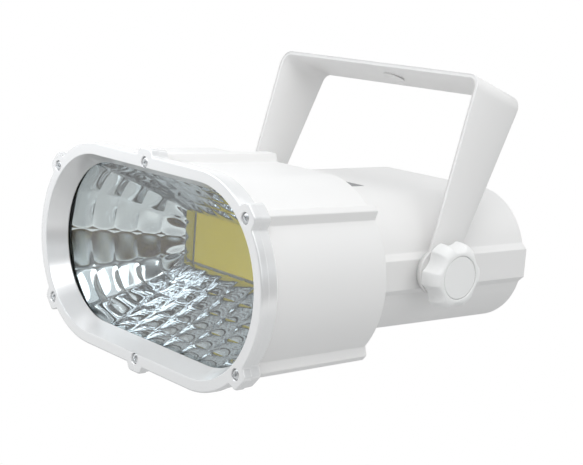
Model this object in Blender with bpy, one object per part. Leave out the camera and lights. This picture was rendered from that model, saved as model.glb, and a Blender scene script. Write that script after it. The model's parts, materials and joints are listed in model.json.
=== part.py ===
"""Hanging display spotlight: wide round-ended lamp head, extruded rear body, U yoke and two hand knobs.

Metres, +Z up. The light leaves towards -Y. The origin is the centre of the hole in the yoke's crossbar,
on the crossbar's outer face. The head tilts about the X axis through its two knobs.

The lamp's pieces are drawn in the lamp's own frame: y = 0 is the front of the bezel, x = 0 and z = 0 lie
on the optical axis. Angles are in degrees. A round-ended outline, here called an obround, is two half
circles on centres at x = +half and x = -half, joined by straight lines.
"""

import math

import bmesh
import bpy
from mathutils import Matrix, Vector

# Finishes: linear colour, roughness, metallic
WHITE_COAT = ((0.80, 0.79, 0.78), 0.42, 0.0)
WHITE_PLASTIC = ((0.80, 0.79, 0.78), 0.38, 0.0)
STEEL = ((0.55, 0.55, 0.56), 0.28, 1.0)
BRASS = ((0.66, 0.50, 0.22), 0.35, 1.0)
BRIGHT_SHEET = ((0.78, 0.78, 0.80), 0.12, 1.0)
ALUMINIUM = ((0.65, 0.66, 0.67), 0.40, 1.0)
RUBBER = ((0.02, 0.02, 0.02), 0.75, 0.0)
BLACK_PLASTIC = ((0.05, 0.05, 0.055), 0.5, 0.0)
CLEAR_GLASS = ((0.85, 0.92, 0.90), 0.05, 0.0)
PHOSPHOR = ((0.90, 0.62, 0.02), 0.5, 0.0)
PALE_FRAME = ((0.62, 0.62, 0.60), 0.6, 0.0)
BOARD_WHITE = ((0.75, 0.75, 0.73), 0.5, 0.0)
PAD_GREY = ((0.40, 0.42, 0.45), 0.8, 0.0)
DARK_INLAY = ((0.06, 0.06, 0.07), 0.45, 0.0)

# Fits and shared screw sizes
SEAT = 0.0002
SCREW_R = 0.0015
SCREW_LEDGE = 0.0013
SCREW_HEAD_HEIGHT = 0.0020
SCREW_CROWN = 0.65
SCREW_CLEARANCE = 0.0003
COUNTERBORE_CLEARANCE = 0.0006
COUNTERBORE_DEPTH = 0.0032
ARC_STEPS = 16
HOLE_STEPS = 8
BORE_STEPS = 14
TURN_STEPS = 18
SHARP_ANGLE = 28

# Head outline and bezel
HEAD_HALF = 0.050
BEZEL_R = 0.0570
BEZEL_FLAT = 0.0064
BEZEL_SKIRT = 0.0105
BEZEL_WEB = 0.0052
BEZEL_WALL = 0.0034
BEZEL_EDGE = 0.0008
BAND_Y = 0.0044
BAND_STEP = 0.0005
BAND_DRAFT = 0.0003
LIP_WIDTH = 0.0053
LIP_Y = 0.0122
LIP_WALL = 0.0026

# Bezel lugs and their screws
LUG_ANGLE = 44.2
LUG_SIDE_RISE = 0.0052
LUG_TOP_RISE = 0.0040
LUG_TIP_HALF = 0.0052
LUG_FLARE = 0.0020
LUG_ROUND = 0.0030
LUG_TIP_TURN = 75
LUG_TIP_STEPS = 4
LUG_SIDE_SCREW_INSET = 0.0014
LUG_TOP_SCREW_INSET = 0.0036
BEZEL_SCREW_LENGTH = 0.0210

# Head housing: the rim's step, the draft of its outside, its ridges and its back
HOUSING_STEP = 0.0038
HOUSING_DRAFT = 0.0009
HOUSING_WALL = 0.0023
HOUSING_BACK = 0.0032
HOUSING_EDGE = 0.0010
HOUSING_CORNER = 0.0020
POCKET_INSET = 0.0058
RIM_LENGTH = 0.0065
RIDGE_ANGLE = 45
RIDGE_SIDE_RISE = 0.0048
RIDGE_SIDE_TIP_HALF = 0.0021
RIDGE_SIDE_BASE_HALF = 0.0052
RIDGE_TOP_RISE = 0.0049
RIDGE_TOP_TIP_HALF = 0.0040
RIDGE_TOP_BASE_HALF = 0.0060
RIDGE_DRAFT = 0.0012
RIDGE_ROOT = 0.0004
WINDOW_INSET_X = 0.0100
WINDOW_INSET_Z = 0.0035

# Glass, its channel seal and the reflector
GLASS_INSET = 0.0016
GLASS_THICKNESS = 0.0030
SEAL_LIP = 0.0006
SEAL_GRIP = 0.0017
REFLECTOR_INSET = 0.0023
REFLECTOR_SHEET = 0.0007
REFLECTOR_DEPTH = 0.0500
REFLECTOR_CURVE = 0.22
THROAT_DEPTH = 0.0062
THROAT_MARGIN = 0.0012
SEAM_STEP = 30
SEAM_SIDE_Z = 0.0090
CORNER_SHIFT = 0.0050
WALL_COLUMNS = 10
DEPTH_ROWS = 5
PILLOW = 0.0005

# Emitter, board and heat sink. The board reaches to just inside the screws of the rear body.
EMITTER_HALF_Z = 0.0150
EMITTER_INSET = 0.0112
FRAME_WIDTH = 0.0026
EMITTER_HEIGHT = 0.0006
FRAME_HEIGHT = 0.0008
BOARD_PORT_GAP = 0.0040
BOARD_BORDER_Z = 0.0050
BOARD_THICKNESS = 0.0016
BOARD_SCREW_INSET_X = 0.0044
BOARD_SCREW_INSET_Z = 0.0060
PAD_THICKNESS = 0.0005
SINK_PLATE = 0.0047
SINK_BORDER_Z = 0.0110
SINK_SCREW_INSET_X = 0.0160
SINK_SCREW_INSET_Z = 0.0035
SINK_SCREW_LENGTH = 0.0065
FIN_COUNT = 13
FIN_THICKNESS = 0.0016
FIN_LENGTH = 0.0220
FIN_MARGIN = 0.0060

# Rear body
BODY_HALF = 0.040
BODY_R = 0.0390
BODY_WALL = 0.0028
BODY_LENGTH = 0.1281
BODY_GAP = 0.0018
BODY_SIDE_STEPS = 7
PAD_RISE = 0.0019
PAD_HALF_Z = 0.0083
PAD_BEVEL = 0.0032
BODY_SEAL_WIDTH = 0.0030
BODY_SEAL_INSET = 0.0006
PORT_ANGLE = 37.57
PORT_INSET = 0.0034
PORT_R = 0.0042
PORT_HOLE_DEPTH = 0.0140
BODY_SCREW_LENGTH = 0.0120
INLAY_HALF_X = 0.0205
INLAY_START = 0.0120
INLAY_LENGTH = 0.0400
INLAY_THICKNESS = 0.0012
INLAY_DEPTH = 0.0015

# Rear cap and cable gland
CAP_THICKNESS = 0.0028
CAP_INSET = 0.0021
GLAND_R = 0.0080
GLAND_WALL = 0.0025
GLAND_HEX_LEDGE = 0.0030
GLAND_FLANGE = 0.0050
GLAND_REACH_IN = 0.0072
GLAND_REACH_OUT = 0.0068
LOCKNUT_LEDGE = 0.0035
LOCKNUT_THICKNESS = 0.0040
NUT_LENGTH = 0.0140
NUT_EXIT_LEDGE = 0.0011
NUT_TAPER = 0.0008
SEAL_WALL = 0.0020

# Driver and terminals. The driver fills the room between the heat sink's fins and the terminals.
DRIVER_SIDE_GAP = 0.0040
DRIVER_TOP_GAP = 0.0082
DRIVER_FRONT_GAP = 0.0050
DRIVER_EDGE = 0.0015
TERMINAL_HALF_X = 0.0150
TERMINAL_LENGTH = 0.0110
TERMINAL_HEIGHT = 0.0140
TERMINAL_GAP = 0.0030
TERMINAL_GLAND_GAP = 0.0022
TERMINAL_WAYS = 3
TERMINAL_WELL_R = 0.0026
TERMINAL_WELL_DEPTH = 0.0060

# Pivot: boss, insert, washers and knob, outwards from the body's side pad
PIVOT_FROM_FRONT = 0.0512
PIVOT_Z = 0.0015
STUD_R = 0.0040
STUD_CLEARANCE = 0.0003
INSERT_WALL = 0.0020
INSERT_LENGTH = 0.0149
BOSS_WALL = 0.0030
BOSS_DEPTH = 0.0125
FRICTION_R = 0.0120
FRICTION_THICKNESS = 0.0024
CLAMP_LEDGE = 0.0040
CLAMP_THICKNESS = 0.0016
KNOB_COLLAR_WALL = 0.0055
KNOB_COLLAR = 0.0036
KNOB_SIDE = 0.0034
KNOB_DOME = 0.0079
KNOB_RIM = 0.0012
KNOB_R = 0.0188
KNOB_LOBES = 6
KNOB_LOBE_ANGLE = 28
SCALLOP_R = 0.0099
SCALLOP_OUT = 0.0071
KNOB_EDGE = 0.0008
KNOB_STEPS = 48
KNOB_DOME_STEPS = 4
KNOB_CAP_INSET = 0.0070
KNOB_CAP_THICKNESS = 0.0016
KNOB_FLOOR = 0.0030

# Yoke
YOKE_THICKNESS = 0.0025
YOKE_RISE = 0.1082
YOKE_LEAN = 20.06
YOKE_BEND_R = 0.0080
YOKE_BEND_STEPS = 8
YOKE_END_R = 0.0135
YOKE_END_STEP = 12
YOKE_END_ANGLE = 120
YOKE_NECK_SHARES = (0.78, 0.92, 1.1, 1.4)
YOKE_NECK_HALF = 0.0098
YOKE_BAR_HALF = 0.01845
YOKE_HOLE_R = 0.0055
YOKE_PIVOT_CLEARANCE = 0.0005

# Radii worked out from the sizes above
SCREW_HEAD_R = SCREW_R + SCREW_LEDGE
HOLE_R = SCREW_R + SCREW_CLEARANCE
COUNTERBORE_R = SCREW_HEAD_R + COUNTERBORE_CLEARANCE
BEZEL_FLAT_INNER_R = BEZEL_R - BEZEL_FLAT
BEZEL_CHANNEL_R = BEZEL_R - BEZEL_WALL
LIP_R = BEZEL_FLAT_INNER_R - LIP_WIDTH
LUG_SIDE_REACH = BEZEL_R + LUG_SIDE_RISE
LUG_TOP_REACH = BEZEL_R + LUG_TOP_RISE
LUG_SIDE_SCREW_R = BEZEL_R - LUG_SIDE_SCREW_INSET
LUG_TOP_SCREW_Z = BEZEL_R - LUG_TOP_SCREW_INSET
RIM_R = BEZEL_CHANNEL_R - SEAT
HOUSING_R = BEZEL_R - HOUSING_STEP
HOUSING_INNER_R = HOUSING_R - HOUSING_DRAFT - HOUSING_WALL
POCKET_R = BEZEL_R - POCKET_INSET
RIDGE_SIDE_REACH = HOUSING_R + RIDGE_SIDE_RISE
RIDGE_TOP_REACH = HOUSING_R + RIDGE_TOP_RISE
GLASS_R = POCKET_R - GLASS_INSET
SEAL_INNER_R = GLASS_R - SEAL_GRIP
REFLECTOR_R = POCKET_R - REFLECTOR_INSET
FLANGE_R = POCKET_R * math.cos(math.radians(90 / ARC_STEPS)) - SEAT
BODY_INNER_R = BODY_R - BODY_WALL
GLAND_BORE_R = GLAND_R - GLAND_WALL
GLAND_HEX_R = GLAND_R + GLAND_HEX_LEDGE
LOCKNUT_HEX_R = GLAND_R + LOCKNUT_LEDGE
NUT_EXIT_R = GLAND_BORE_R - NUT_EXIT_LEDGE
NUT_END_R = GLAND_R - NUT_TAPER
INSERT_R = STUD_R + INSERT_WALL
BOSS_R = INSERT_R + BOSS_WALL
CLAMP_R = STUD_R + CLAMP_LEDGE
KNOB_COLLAR_R = STUD_R + KNOB_COLLAR_WALL
SCALLOP_CENTRE_R = KNOB_R + SCALLOP_OUT
KNOB_CAP_R = KNOB_R - KNOB_CAP_INSET

# Places worked out from the sizes above, across the lamp
PORT_X = BODY_HALF + (BODY_INNER_R - PORT_INSET) * math.cos(math.radians(PORT_ANGLE))
PORT_Z = (BODY_INNER_R - PORT_INSET) * math.sin(math.radians(PORT_ANGLE))
BOARD_HALF_X = PORT_X - BOARD_PORT_GAP
BOARD_HALF_Z = EMITTER_HALF_Z + BOARD_BORDER_Z
BOARD_SCREW_X = BOARD_HALF_X - BOARD_SCREW_INSET_X
BOARD_SCREW_Z = BOARD_HALF_Z - BOARD_SCREW_INSET_Z
EMITTER_HALF_X = BOARD_HALF_X - EMITTER_INSET
THROAT_HALF_X = EMITTER_HALF_X + THROAT_MARGIN
THROAT_HALF_Z = EMITTER_HALF_Z + THROAT_MARGIN
SINK_HALF_Z = BOARD_HALF_Z + SINK_BORDER_Z
SINK_SCREW_X = BOARD_HALF_X - SINK_SCREW_INSET_X
SINK_SCREW_Z = SINK_HALF_Z - SINK_SCREW_INSET_Z
WINDOW_HALF_X = BOARD_HALF_X - WINDOW_INSET_X
WINDOW_HALF_Z = SINK_SCREW_Z - WINDOW_INSET_Z
DRIVER_HALF_X = BODY_HALF - DRIVER_SIDE_GAP
DRIVER_HEIGHT = BODY_INNER_R - DRIVER_TOP_GAP

# Places worked out from the sizes above, all along y
RIM_Y = BEZEL_WEB + SEAT
RIM_END = RIM_Y + RIM_LENGTH
SEAL_Y = LIP_Y + SEAT
GLASS_Y = SEAL_Y + SEAL_LIP + SEAT
SEAL_END = GLASS_Y + GLASS_THICKNESS + SEAT + SEAL_LIP
FLANGE_Y = SEAL_END + SEAT
LEDGE_Y = FLANGE_Y + REFLECTOR_SHEET + SEAT
THROAT_Y = FLANGE_Y + REFLECTOR_DEPTH
THROAT_END = THROAT_Y + THROAT_DEPTH
FRAME_Y = THROAT_END + SEAT
BOARD_Y = FRAME_Y + FRAME_HEIGHT + SEAT
THERMAL_Y = BOARD_Y + BOARD_THICKNESS + SEAT
SINK_Y = THERMAL_Y + PAD_THICKNESS + SEAT
SINK_END = SINK_Y + SINK_PLATE
BACK_Y = SINK_END + SEAT
HOUSING_END = BACK_Y + HOUSING_BACK
BODY_Y = HOUSING_END + BODY_GAP
BODY_END = BODY_Y + BODY_LENGTH
INLAY_Y = BODY_Y + INLAY_START
CAP_END = BODY_END - CAP_INSET
CAP_Y = CAP_END - CAP_THICKNESS
PORT_END = CAP_Y - SEAT
GLAND_Y = CAP_END + SEAT
DRIVER_Y = SINK_END + FIN_LENGTH + DRIVER_FRONT_GAP
TERMINAL_END = CAP_Y - GLAND_REACH_IN - TERMINAL_GLAND_GAP
TERMINAL_Y = TERMINAL_END - TERMINAL_LENGTH
DRIVER_END = TERMINAL_Y - TERMINAL_GAP
PIVOT_Y = BODY_Y + PIVOT_FROM_FRONT

# Places worked out from the sizes above, outwards along x
PAD_X = BODY_HALF + BODY_R + PAD_RISE
FRICTION_X = PAD_X + SEAT
ARM_X = FRICTION_X + FRICTION_THICKNESS + SEAT
ARM_OUT_X = ARM_X + YOKE_THICKNESS
CLAMP_X = ARM_OUT_X + SEAT
KNOB_X = CLAMP_X + CLAMP_THICKNESS + SEAT
LOBE_X = KNOB_X + KNOB_COLLAR
LOBE_OUT_X = LOBE_X + KNOB_SIDE
CROWN_X = LOBE_OUT_X + KNOB_DOME
POCKET_X = CROWN_X - KNOB_CAP_THICKNESS - 2 * SEAT
STUD_OUT_X = POCKET_X - KNOB_FLOOR
INSERT_X = PAD_X - INSERT_LENGTH



def clear_scene():
    """Remove every object that is already in the file."""
    for item in list(bpy.data.objects):
        bpy.data.objects.remove(item, do_unlink=True)


def make_material(name, colour, roughness, metallic):
    """Return a Principled material with one base colour, given as linear red, green and blue."""
    result = bpy.data.materials.new(name)
    result.use_nodes = True
    shader = result.node_tree.nodes["Principled BSDF"]
    shader.inputs["Base Color"].default_value = (*colour, 1.0)
    shader.inputs["Roughness"].default_value = roughness
    shader.inputs["Metallic"].default_value = metallic
    return result


def make_empty(name, place, parent=None):
    """Return an empty at a place in its parent's frame."""
    result = bpy.data.objects.new(name, None)
    result.location = place
    result.parent = parent
    bpy.context.scene.collection.objects.link(result)
    return result


def make_object(name, bm, parent, finish=None):
    """Turn a bmesh into an object, faces out, shaded smooth except at its real edges."""
    bmesh.ops.recalc_face_normals(bm, faces=bm.faces)
    mesh = bpy.data.meshes.new(name)
    bm.to_mesh(mesh)
    bm.free()
    mesh.shade_smooth()
    mesh.set_sharp_from_angle(angle=math.radians(SHARP_ANGLE))
    result = bpy.data.objects.new(name, mesh)
    result.parent = parent
    bpy.context.scene.collection.objects.link(result)
    if finish:
        mesh.materials.append(make_material(name, *finish))
    return result


def combine(target, bm, operation):
    """Cut a bmesh's bodies from an object, or add them to it, with a live Boolean."""
    tool = make_object(f"{target.name}_{operation.lower()}_{len(target.modifiers)}", bm, target.parent)
    tool.hide_render = True
    tool.display_type = "WIRE"
    modifier = target.modifiers.new(operation.title(), "BOOLEAN")
    modifier.object = tool
    modifier.operation = operation
    modifier.solver = "EXACT"


def skin(bm, rings, closed=False):
    """Join equal rings of points with quads, then cap both ends, or close the stack on itself."""
    loops = [[bm.verts.new(point) for point in ring] for ring in rings]
    following = loops[1:] + loops[:1] if closed else loops[1:]
    for here, there in zip(loops, following):
        for index, start in enumerate(here):
            after = (index + 1) % len(here)
            bm.faces.new((start, here[after], there[after], there[index]))
    if not closed:
        bm.faces.new(reversed(loops[0]))
        bm.faces.new(loops[-1])


def obround(half, radius, y, steps=ARC_STEPS):
    """Points of a round-ended outline in the plane of one y."""
    points = []
    for side, start in ((1, -90), (-1, 90)):
        for step in range(steps + 1):
            angle = math.radians(start + 180 * step / steps)
            points.append((side * half + radius * math.cos(angle), y, radius * math.sin(angle)))
    return points


def add_obround(bm, half, profile, closed=False):
    """Sweep a profile of (radius, y) points round the obround with this half spacing."""
    skin(bm, [obround(half, radius, y) for radius, y in profile], closed)


def add_box(bm, low, high):
    """Add a box between two corners."""
    size = Vector(high) - Vector(low)
    middle = (Vector(high) + Vector(low)) / 2
    bmesh.ops.create_cube(bm, size=1, matrix=Matrix.Translation(middle) @ Matrix.Diagonal((*size, 1)))


def add_turned(bm, profile, place, axis="Y", steps=TURN_STEPS, closed=False, sides=0):
    """Turn a profile of (radius, distance) points about an axis through a place.

    The distance runs along the axis. With sides, a negative radius is a polygon's corner radius.
    """
    rings = []
    for radius, along in profile:
        ring = []
        for step in range(steps):
            angle = 2 * math.pi * step / steps
            reach = abs(radius)
            if radius < 0:
                sector = 2 * math.pi / sides
                reach *= math.cos(sector / 2) / math.cos(angle % sector - sector / 2)
            first = reach * math.cos(angle)
            second = reach * math.sin(angle)
            offset = (first, along, second) if axis == "Y" else (along, first, second)
            ring.append(Vector(place) + Vector(offset))
        rings.append(ring)
    skin(bm, rings, closed)


def add_screws(name, places, length, parent, axis_sign=1, steps=HOLE_STEPS):
    """Add one pan-head screw for each place. Its head rests there and its shank runs along +y, or -y."""
    crown = axis_sign * SCREW_HEAD_HEIGHT
    profile = [
        (SCREW_HEAD_R * SCREW_CROWN, -crown),
        (SCREW_HEAD_R, -crown * SCREW_CROWN),
        (SCREW_HEAD_R, 0),
        (SCREW_R, 0),
        (SCREW_R, axis_sign * length),
    ]
    bm = bmesh.new()
    add_turned(bm, profile, (0, 0, 0), steps=steps)
    first = make_object(f"{name}_1", bm, parent, STEEL)
    first.location = places[0]
    for number, place in enumerate(places[1:], start=2):
        copy = bpy.data.objects.new(f"{name}_{number}", first.data)
        copy.parent = parent
        copy.location = place
        bpy.context.scene.collection.objects.link(copy)


def lug_spots(angle):
    """Return the six places round the head: four on the round ends at this angle, one above, one below.

    A place is (side, direction): the side of the round end, or 0, and the direction outwards.
    """
    ends = [(1, angle), (1, -angle), (-1, 180 - angle), (-1, 180 + angle)]
    return [*ends, (0, 90), (0, -90)]


def lug_frame(spot):
    """Return a lug's centre line: the point it starts from, its outward and its sideways direction."""
    side, angle = spot
    outward = Vector((math.cos(math.radians(angle)), 0, math.sin(math.radians(angle))))
    sideways = Vector((-outward.z, 0, outward.x))
    return Vector((side * HEAD_HALF, 0, 0)), outward, sideways


def lug_screw_place(spot, y):
    """Return the point on a bezel screw's axis at one y."""
    start, outward, _ = lug_frame(spot)
    reach = LUG_SIDE_SCREW_R if spot[0] else LUG_TOP_SCREW_Z
    return start + outward * reach + Vector((0, y, 0))


def add_lug_prism(bm, spot, sections):
    """Join sections, each a y and an outline of (outward, sideways) points, into one body at a lug."""
    start, outward, sideways = lug_frame(spot)
    rings = []
    for y, outline in sections:
        middle = start + Vector((0, y, 0))
        rings.append([middle + outward * reach + sideways * across for reach, across in outline])
    skin(bm, rings)


def lug_outline(spot):
    """Outline of a bezel lug: tapered sides and a round-cornered tip."""
    reach = LUG_SIDE_REACH if spot[0] else LUG_TOP_REACH
    base = BEZEL_CHANNEL_R + BEZEL_EDGE
    base_half = LUG_TIP_HALF + LUG_FLARE
    middle = reach - LUG_ROUND
    outline = [(base, -base_half)]
    for side, start in ((-1, -LUG_TIP_TURN), (1, 0)):
        for step in range(LUG_TIP_STEPS + 1):
            angle = math.radians(start + LUG_TIP_TURN * step / LUG_TIP_STEPS)
            across = side * (LUG_TIP_HALF - LUG_ROUND) + LUG_ROUND * math.sin(angle)
            outline.append((middle + LUG_ROUND * math.cos(angle), across))
    outline.append((base, base_half))
    return outline


def ridge_outline(spot, draft):
    """Outline of a housing ridge whose crest is lowered by the draft."""
    reach, tip_half, base_half = RIDGE_TOP_REACH, RIDGE_TOP_TIP_HALF, RIDGE_TOP_BASE_HALF
    if spot[0]:
        reach, tip_half, base_half = RIDGE_SIDE_REACH, RIDGE_SIDE_TIP_HALF, RIDGE_SIDE_BASE_HALF
    base = POCKET_R + RIDGE_ROOT
    return [(base, -base_half), (reach - draft, -tip_half), (reach - draft, tip_half), (base, base_half)]


def build_bezel(lamp):
    """Bezel ring with a stepped skirt, a sloping lip and six lugs, and the screws in it."""
    bm = bmesh.new()
    band_r = BEZEL_R - BAND_STEP
    profile = [
        (BEZEL_FLAT_INNER_R - BEZEL_EDGE / 2, BEZEL_EDGE),
        (BEZEL_FLAT_INNER_R, 0),
        (BEZEL_R - BEZEL_EDGE, 0),
        (BEZEL_R, BEZEL_EDGE),
        (BEZEL_R, BAND_Y),
        (band_r, BAND_Y + BAND_STEP),
        (band_r - BAND_DRAFT, BEZEL_SKIRT - BAND_STEP),
        (band_r - BAND_DRAFT - BAND_STEP, BEZEL_SKIRT),
        (BEZEL_CHANNEL_R, BEZEL_SKIRT),
        (BEZEL_CHANNEL_R, BEZEL_WEB),
        (POCKET_R + SEAT, BEZEL_WEB),
        (LIP_R + LIP_WALL, LIP_Y),
        (LIP_R, LIP_Y),
    ]
    add_obround(bm, HEAD_HALF, profile, closed=True)
    bezel = make_object("bezel_frame", bm, lamp, WHITE_COAT)

    lugs = bmesh.new()
    holes = bmesh.new()
    for spot in lug_spots(LUG_ANGLE):
        outline = lug_outline(spot)
        add_lug_prism(lugs, spot, [(0, outline), (BEZEL_SKIRT, outline)])
        front = COUNTERBORE_DEPTH + SEAT
        profile = [
            (COUNTERBORE_R, -front),
            (COUNTERBORE_R, COUNTERBORE_DEPTH),
            (HOLE_R, COUNTERBORE_DEPTH),
            (HOLE_R, BEZEL_SKIRT + front),
        ]
        add_turned(holes, profile, lug_screw_place(spot, 0), steps=BORE_STEPS)
    combine(bezel, lugs, "UNION")
    combine(bezel, holes, "DIFFERENCE")
    places = [lug_screw_place(spot, COUNTERBORE_DEPTH - SEAT) for spot in lug_spots(LUG_ANGLE)]
    add_screws("bezel_screw", places, BEZEL_SCREW_LENGTH, lamp, steps=BORE_STEPS)


def build_housing(lamp):
    """Head shell: a cup with a stepped rim, drafted sides, six ridges and a windowed back wall."""
    rear_r = HOUSING_R - HOUSING_DRAFT
    bm = bmesh.new()
    profile = [
        (HOUSING_INNER_R - HOUSING_CORNER, BACK_Y),
        (HOUSING_INNER_R, BACK_Y - HOUSING_CORNER),
        (HOUSING_INNER_R, LEDGE_Y),
        (POCKET_R, LEDGE_Y),
        (POCKET_R, RIM_Y + 2 * BEZEL_EDGE),
        (POCKET_R + BEZEL_EDGE, RIM_Y),
        (RIM_R, RIM_Y),
        (RIM_R, RIM_END),
        (HOUSING_R, RIM_END + BEZEL_EDGE),
        (rear_r, HOUSING_END - HOUSING_EDGE),
        (rear_r - HOUSING_EDGE, HOUSING_END),
    ]
    add_obround(bm, HEAD_HALF, profile)
    housing = make_object("head_housing", bm, lamp, WHITE_COAT)

    ridges = bmesh.new()
    cuts = bmesh.new()
    ridge_end = HOUSING_END - HOUSING_EDGE / 2
    tip = COUNTERBORE_DEPTH + BEZEL_SCREW_LENGTH + SEAT
    for spot in lug_spots(RIDGE_ANGLE):
        front = (BEZEL_SKIRT + SEAT, ridge_outline(spot, 0))
        add_lug_prism(ridges, spot, [front, (ridge_end, ridge_outline(spot, RIDGE_DRAFT))])
    for spot in lug_spots(LUG_ANGLE):
        add_turned(cuts, [(HOLE_R, 0), (HOLE_R, tip)], lug_screw_place(spot, 0), steps=BORE_STEPS)
    add_box(
        cuts,
        (-WINDOW_HALF_X, BACK_Y - HOUSING_CORNER, -WINDOW_HALF_Z),
        (WINDOW_HALF_X, HOUSING_END + HOUSING_EDGE, WINDOW_HALF_Z),
    )
    for x, z in corners(PORT_X, PORT_Z) + corners(SINK_SCREW_X, SINK_SCREW_Z):
        hole = [(HOLE_R, BACK_Y - HOUSING_CORNER), (HOLE_R, HOUSING_END + HOUSING_EDGE)]
        add_turned(cuts, hole, (x, 0, z), steps=HOLE_STEPS)
    combine(housing, ridges, "UNION")
    combine(housing, cuts, "DIFFERENCE")


def corners(x, z):
    """Return the four points (x, z) with every sign."""
    return [(side * x, rise * z) for side in (1, -1) for rise in (1, -1)]


def build_glass(lamp):
    """Front glass, and the rubber channel that holds its edge."""
    bm = bmesh.new()
    add_obround(bm, HEAD_HALF, [(GLASS_R, GLASS_Y), (GLASS_R, GLASS_Y + GLASS_THICKNESS)])
    make_object("front_glass", bm, lamp, CLEAR_GLASS)

    bm = bmesh.new()
    outer_r = POCKET_R - SEAT
    floor_r = GLASS_R + SEAT
    profile = [
        (SEAL_INNER_R, SEAL_Y),
        (outer_r, SEAL_Y),
        (outer_r, SEAL_END),
        (SEAL_INNER_R, SEAL_END),
        (SEAL_INNER_R, SEAL_END - SEAL_LIP),
        (floor_r, SEAL_END - SEAL_LIP),
        (floor_r, SEAL_Y + SEAL_LIP),
        (SEAL_INNER_R, SEAL_Y + SEAL_LIP),
    ]
    add_obround(bm, HEAD_HALF, profile, closed=True)
    make_object("glass_gasket", bm, lamp, RUBBER)


def reflector_stations():
    """Return the reflector's stations round its mouth, two to each facet.

    A station is (middle, outward, foot): the mouth lies at middle + outward * radius, and foot is the
    point on the throat's rectangle that the station runs back to. Each round end has six facets, whose
    seams meet the throat at its middle, part way up its end and at its corners.
    """
    stations = []
    end_steps = 2 * 180 // SEAM_STEP
    for side in (1, -1):
        for step in range(end_steps + 1):
            angle = -90 + SEAM_STEP * step / 2
            turn = math.radians(angle)
            outward = Vector((side * math.cos(turn), 0, side * math.sin(turn)))
            size = abs(angle)
            if size <= SEAM_STEP:
                foot = (THROAT_HALF_X, SEAM_SIDE_Z * size / SEAM_STEP)
            elif size <= 2 * SEAM_STEP:
                share = size / SEAM_STEP - 1
                foot = (THROAT_HALF_X, SEAM_SIDE_Z + (THROAT_HALF_Z - SEAM_SIDE_Z) * share)
            else:
                share = size / SEAM_STEP - 2
                foot = (THROAT_HALF_X - CORNER_SHIFT * share, THROAT_HALF_Z)
            rise = math.copysign(foot[1], angle)
            middle = Vector((side * HEAD_HALF, 0, 0))
            stations.append((middle, outward, Vector((side * foot[0], 0, side * rise))))
        for step in range(1, 2 * WALL_COLUMNS):
            share = 1 - step / WALL_COLUMNS
            middle = Vector((side * HEAD_HALF * share, 0, 0))
            foot = Vector((side * (THROAT_HALF_X - CORNER_SHIFT) * share, 0, side * THROAT_HALF_Z))
            stations.append((middle, Vector((0, 0, side)), foot))
    return stations


def reflector_ring(stations, share, offset, pillow=0.0):
    """Return one ring of the reflector's wall, share 0 at the throat and 1 at the mouth.

    The wall bows outwards as it leaves the throat. Every second point is pushed inwards by pillow.
    """
    flare = share * (1 + REFLECTOR_CURVE * (1 - share))
    ring = []
    for index, (middle, outward, foot) in enumerate(stations):
        mouth = middle + outward * REFLECTOR_R
        reach = (mouth - foot).normalized()
        point = foot.lerp(mouth, flare) + reach * offset
        if index % 2:
            point -= reach * pillow
        point.y = THROAT_Y - REFLECTOR_DEPTH * share
        ring.append(point)
    return ring


def build_reflector(lamp):
    """Reflector of one sheet: a straight throat, a wall of pillowed facets and a turned-out rim."""
    stations = reflector_stations()
    rows = 2 * DEPTH_ROWS
    rings = []
    throat = reflector_ring(stations, 0, 0)
    rings.append([Vector((point.x, THROAT_END, point.z)) for point in throat])
    for row in range(rows + 1):
        rings.append(reflector_ring(stations, row / rows, 0, PILLOW if row % 2 else 0))
    for radius, y in (
        (FLANGE_R, FLANGE_Y),
        (FLANGE_R, FLANGE_Y + REFLECTOR_SHEET),
        (REFLECTOR_R + REFLECTOR_SHEET, FLANGE_Y + REFLECTOR_SHEET),
    ):
        rings.append([middle + outward * radius + Vector((0, y, 0)) for middle, outward, _ in stations])
    for row in range(DEPTH_ROWS - 1, -1, -1):
        rings.append(reflector_ring(stations, row / DEPTH_ROWS, REFLECTOR_SHEET))
    rings.append([Vector((point.x, THROAT_END, point.z)) for point in rings[-1]])
    bm = bmesh.new()
    skin(bm, rings, closed=True)
    make_object("reflector", bm, lamp, BRIGHT_SHEET)


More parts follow.
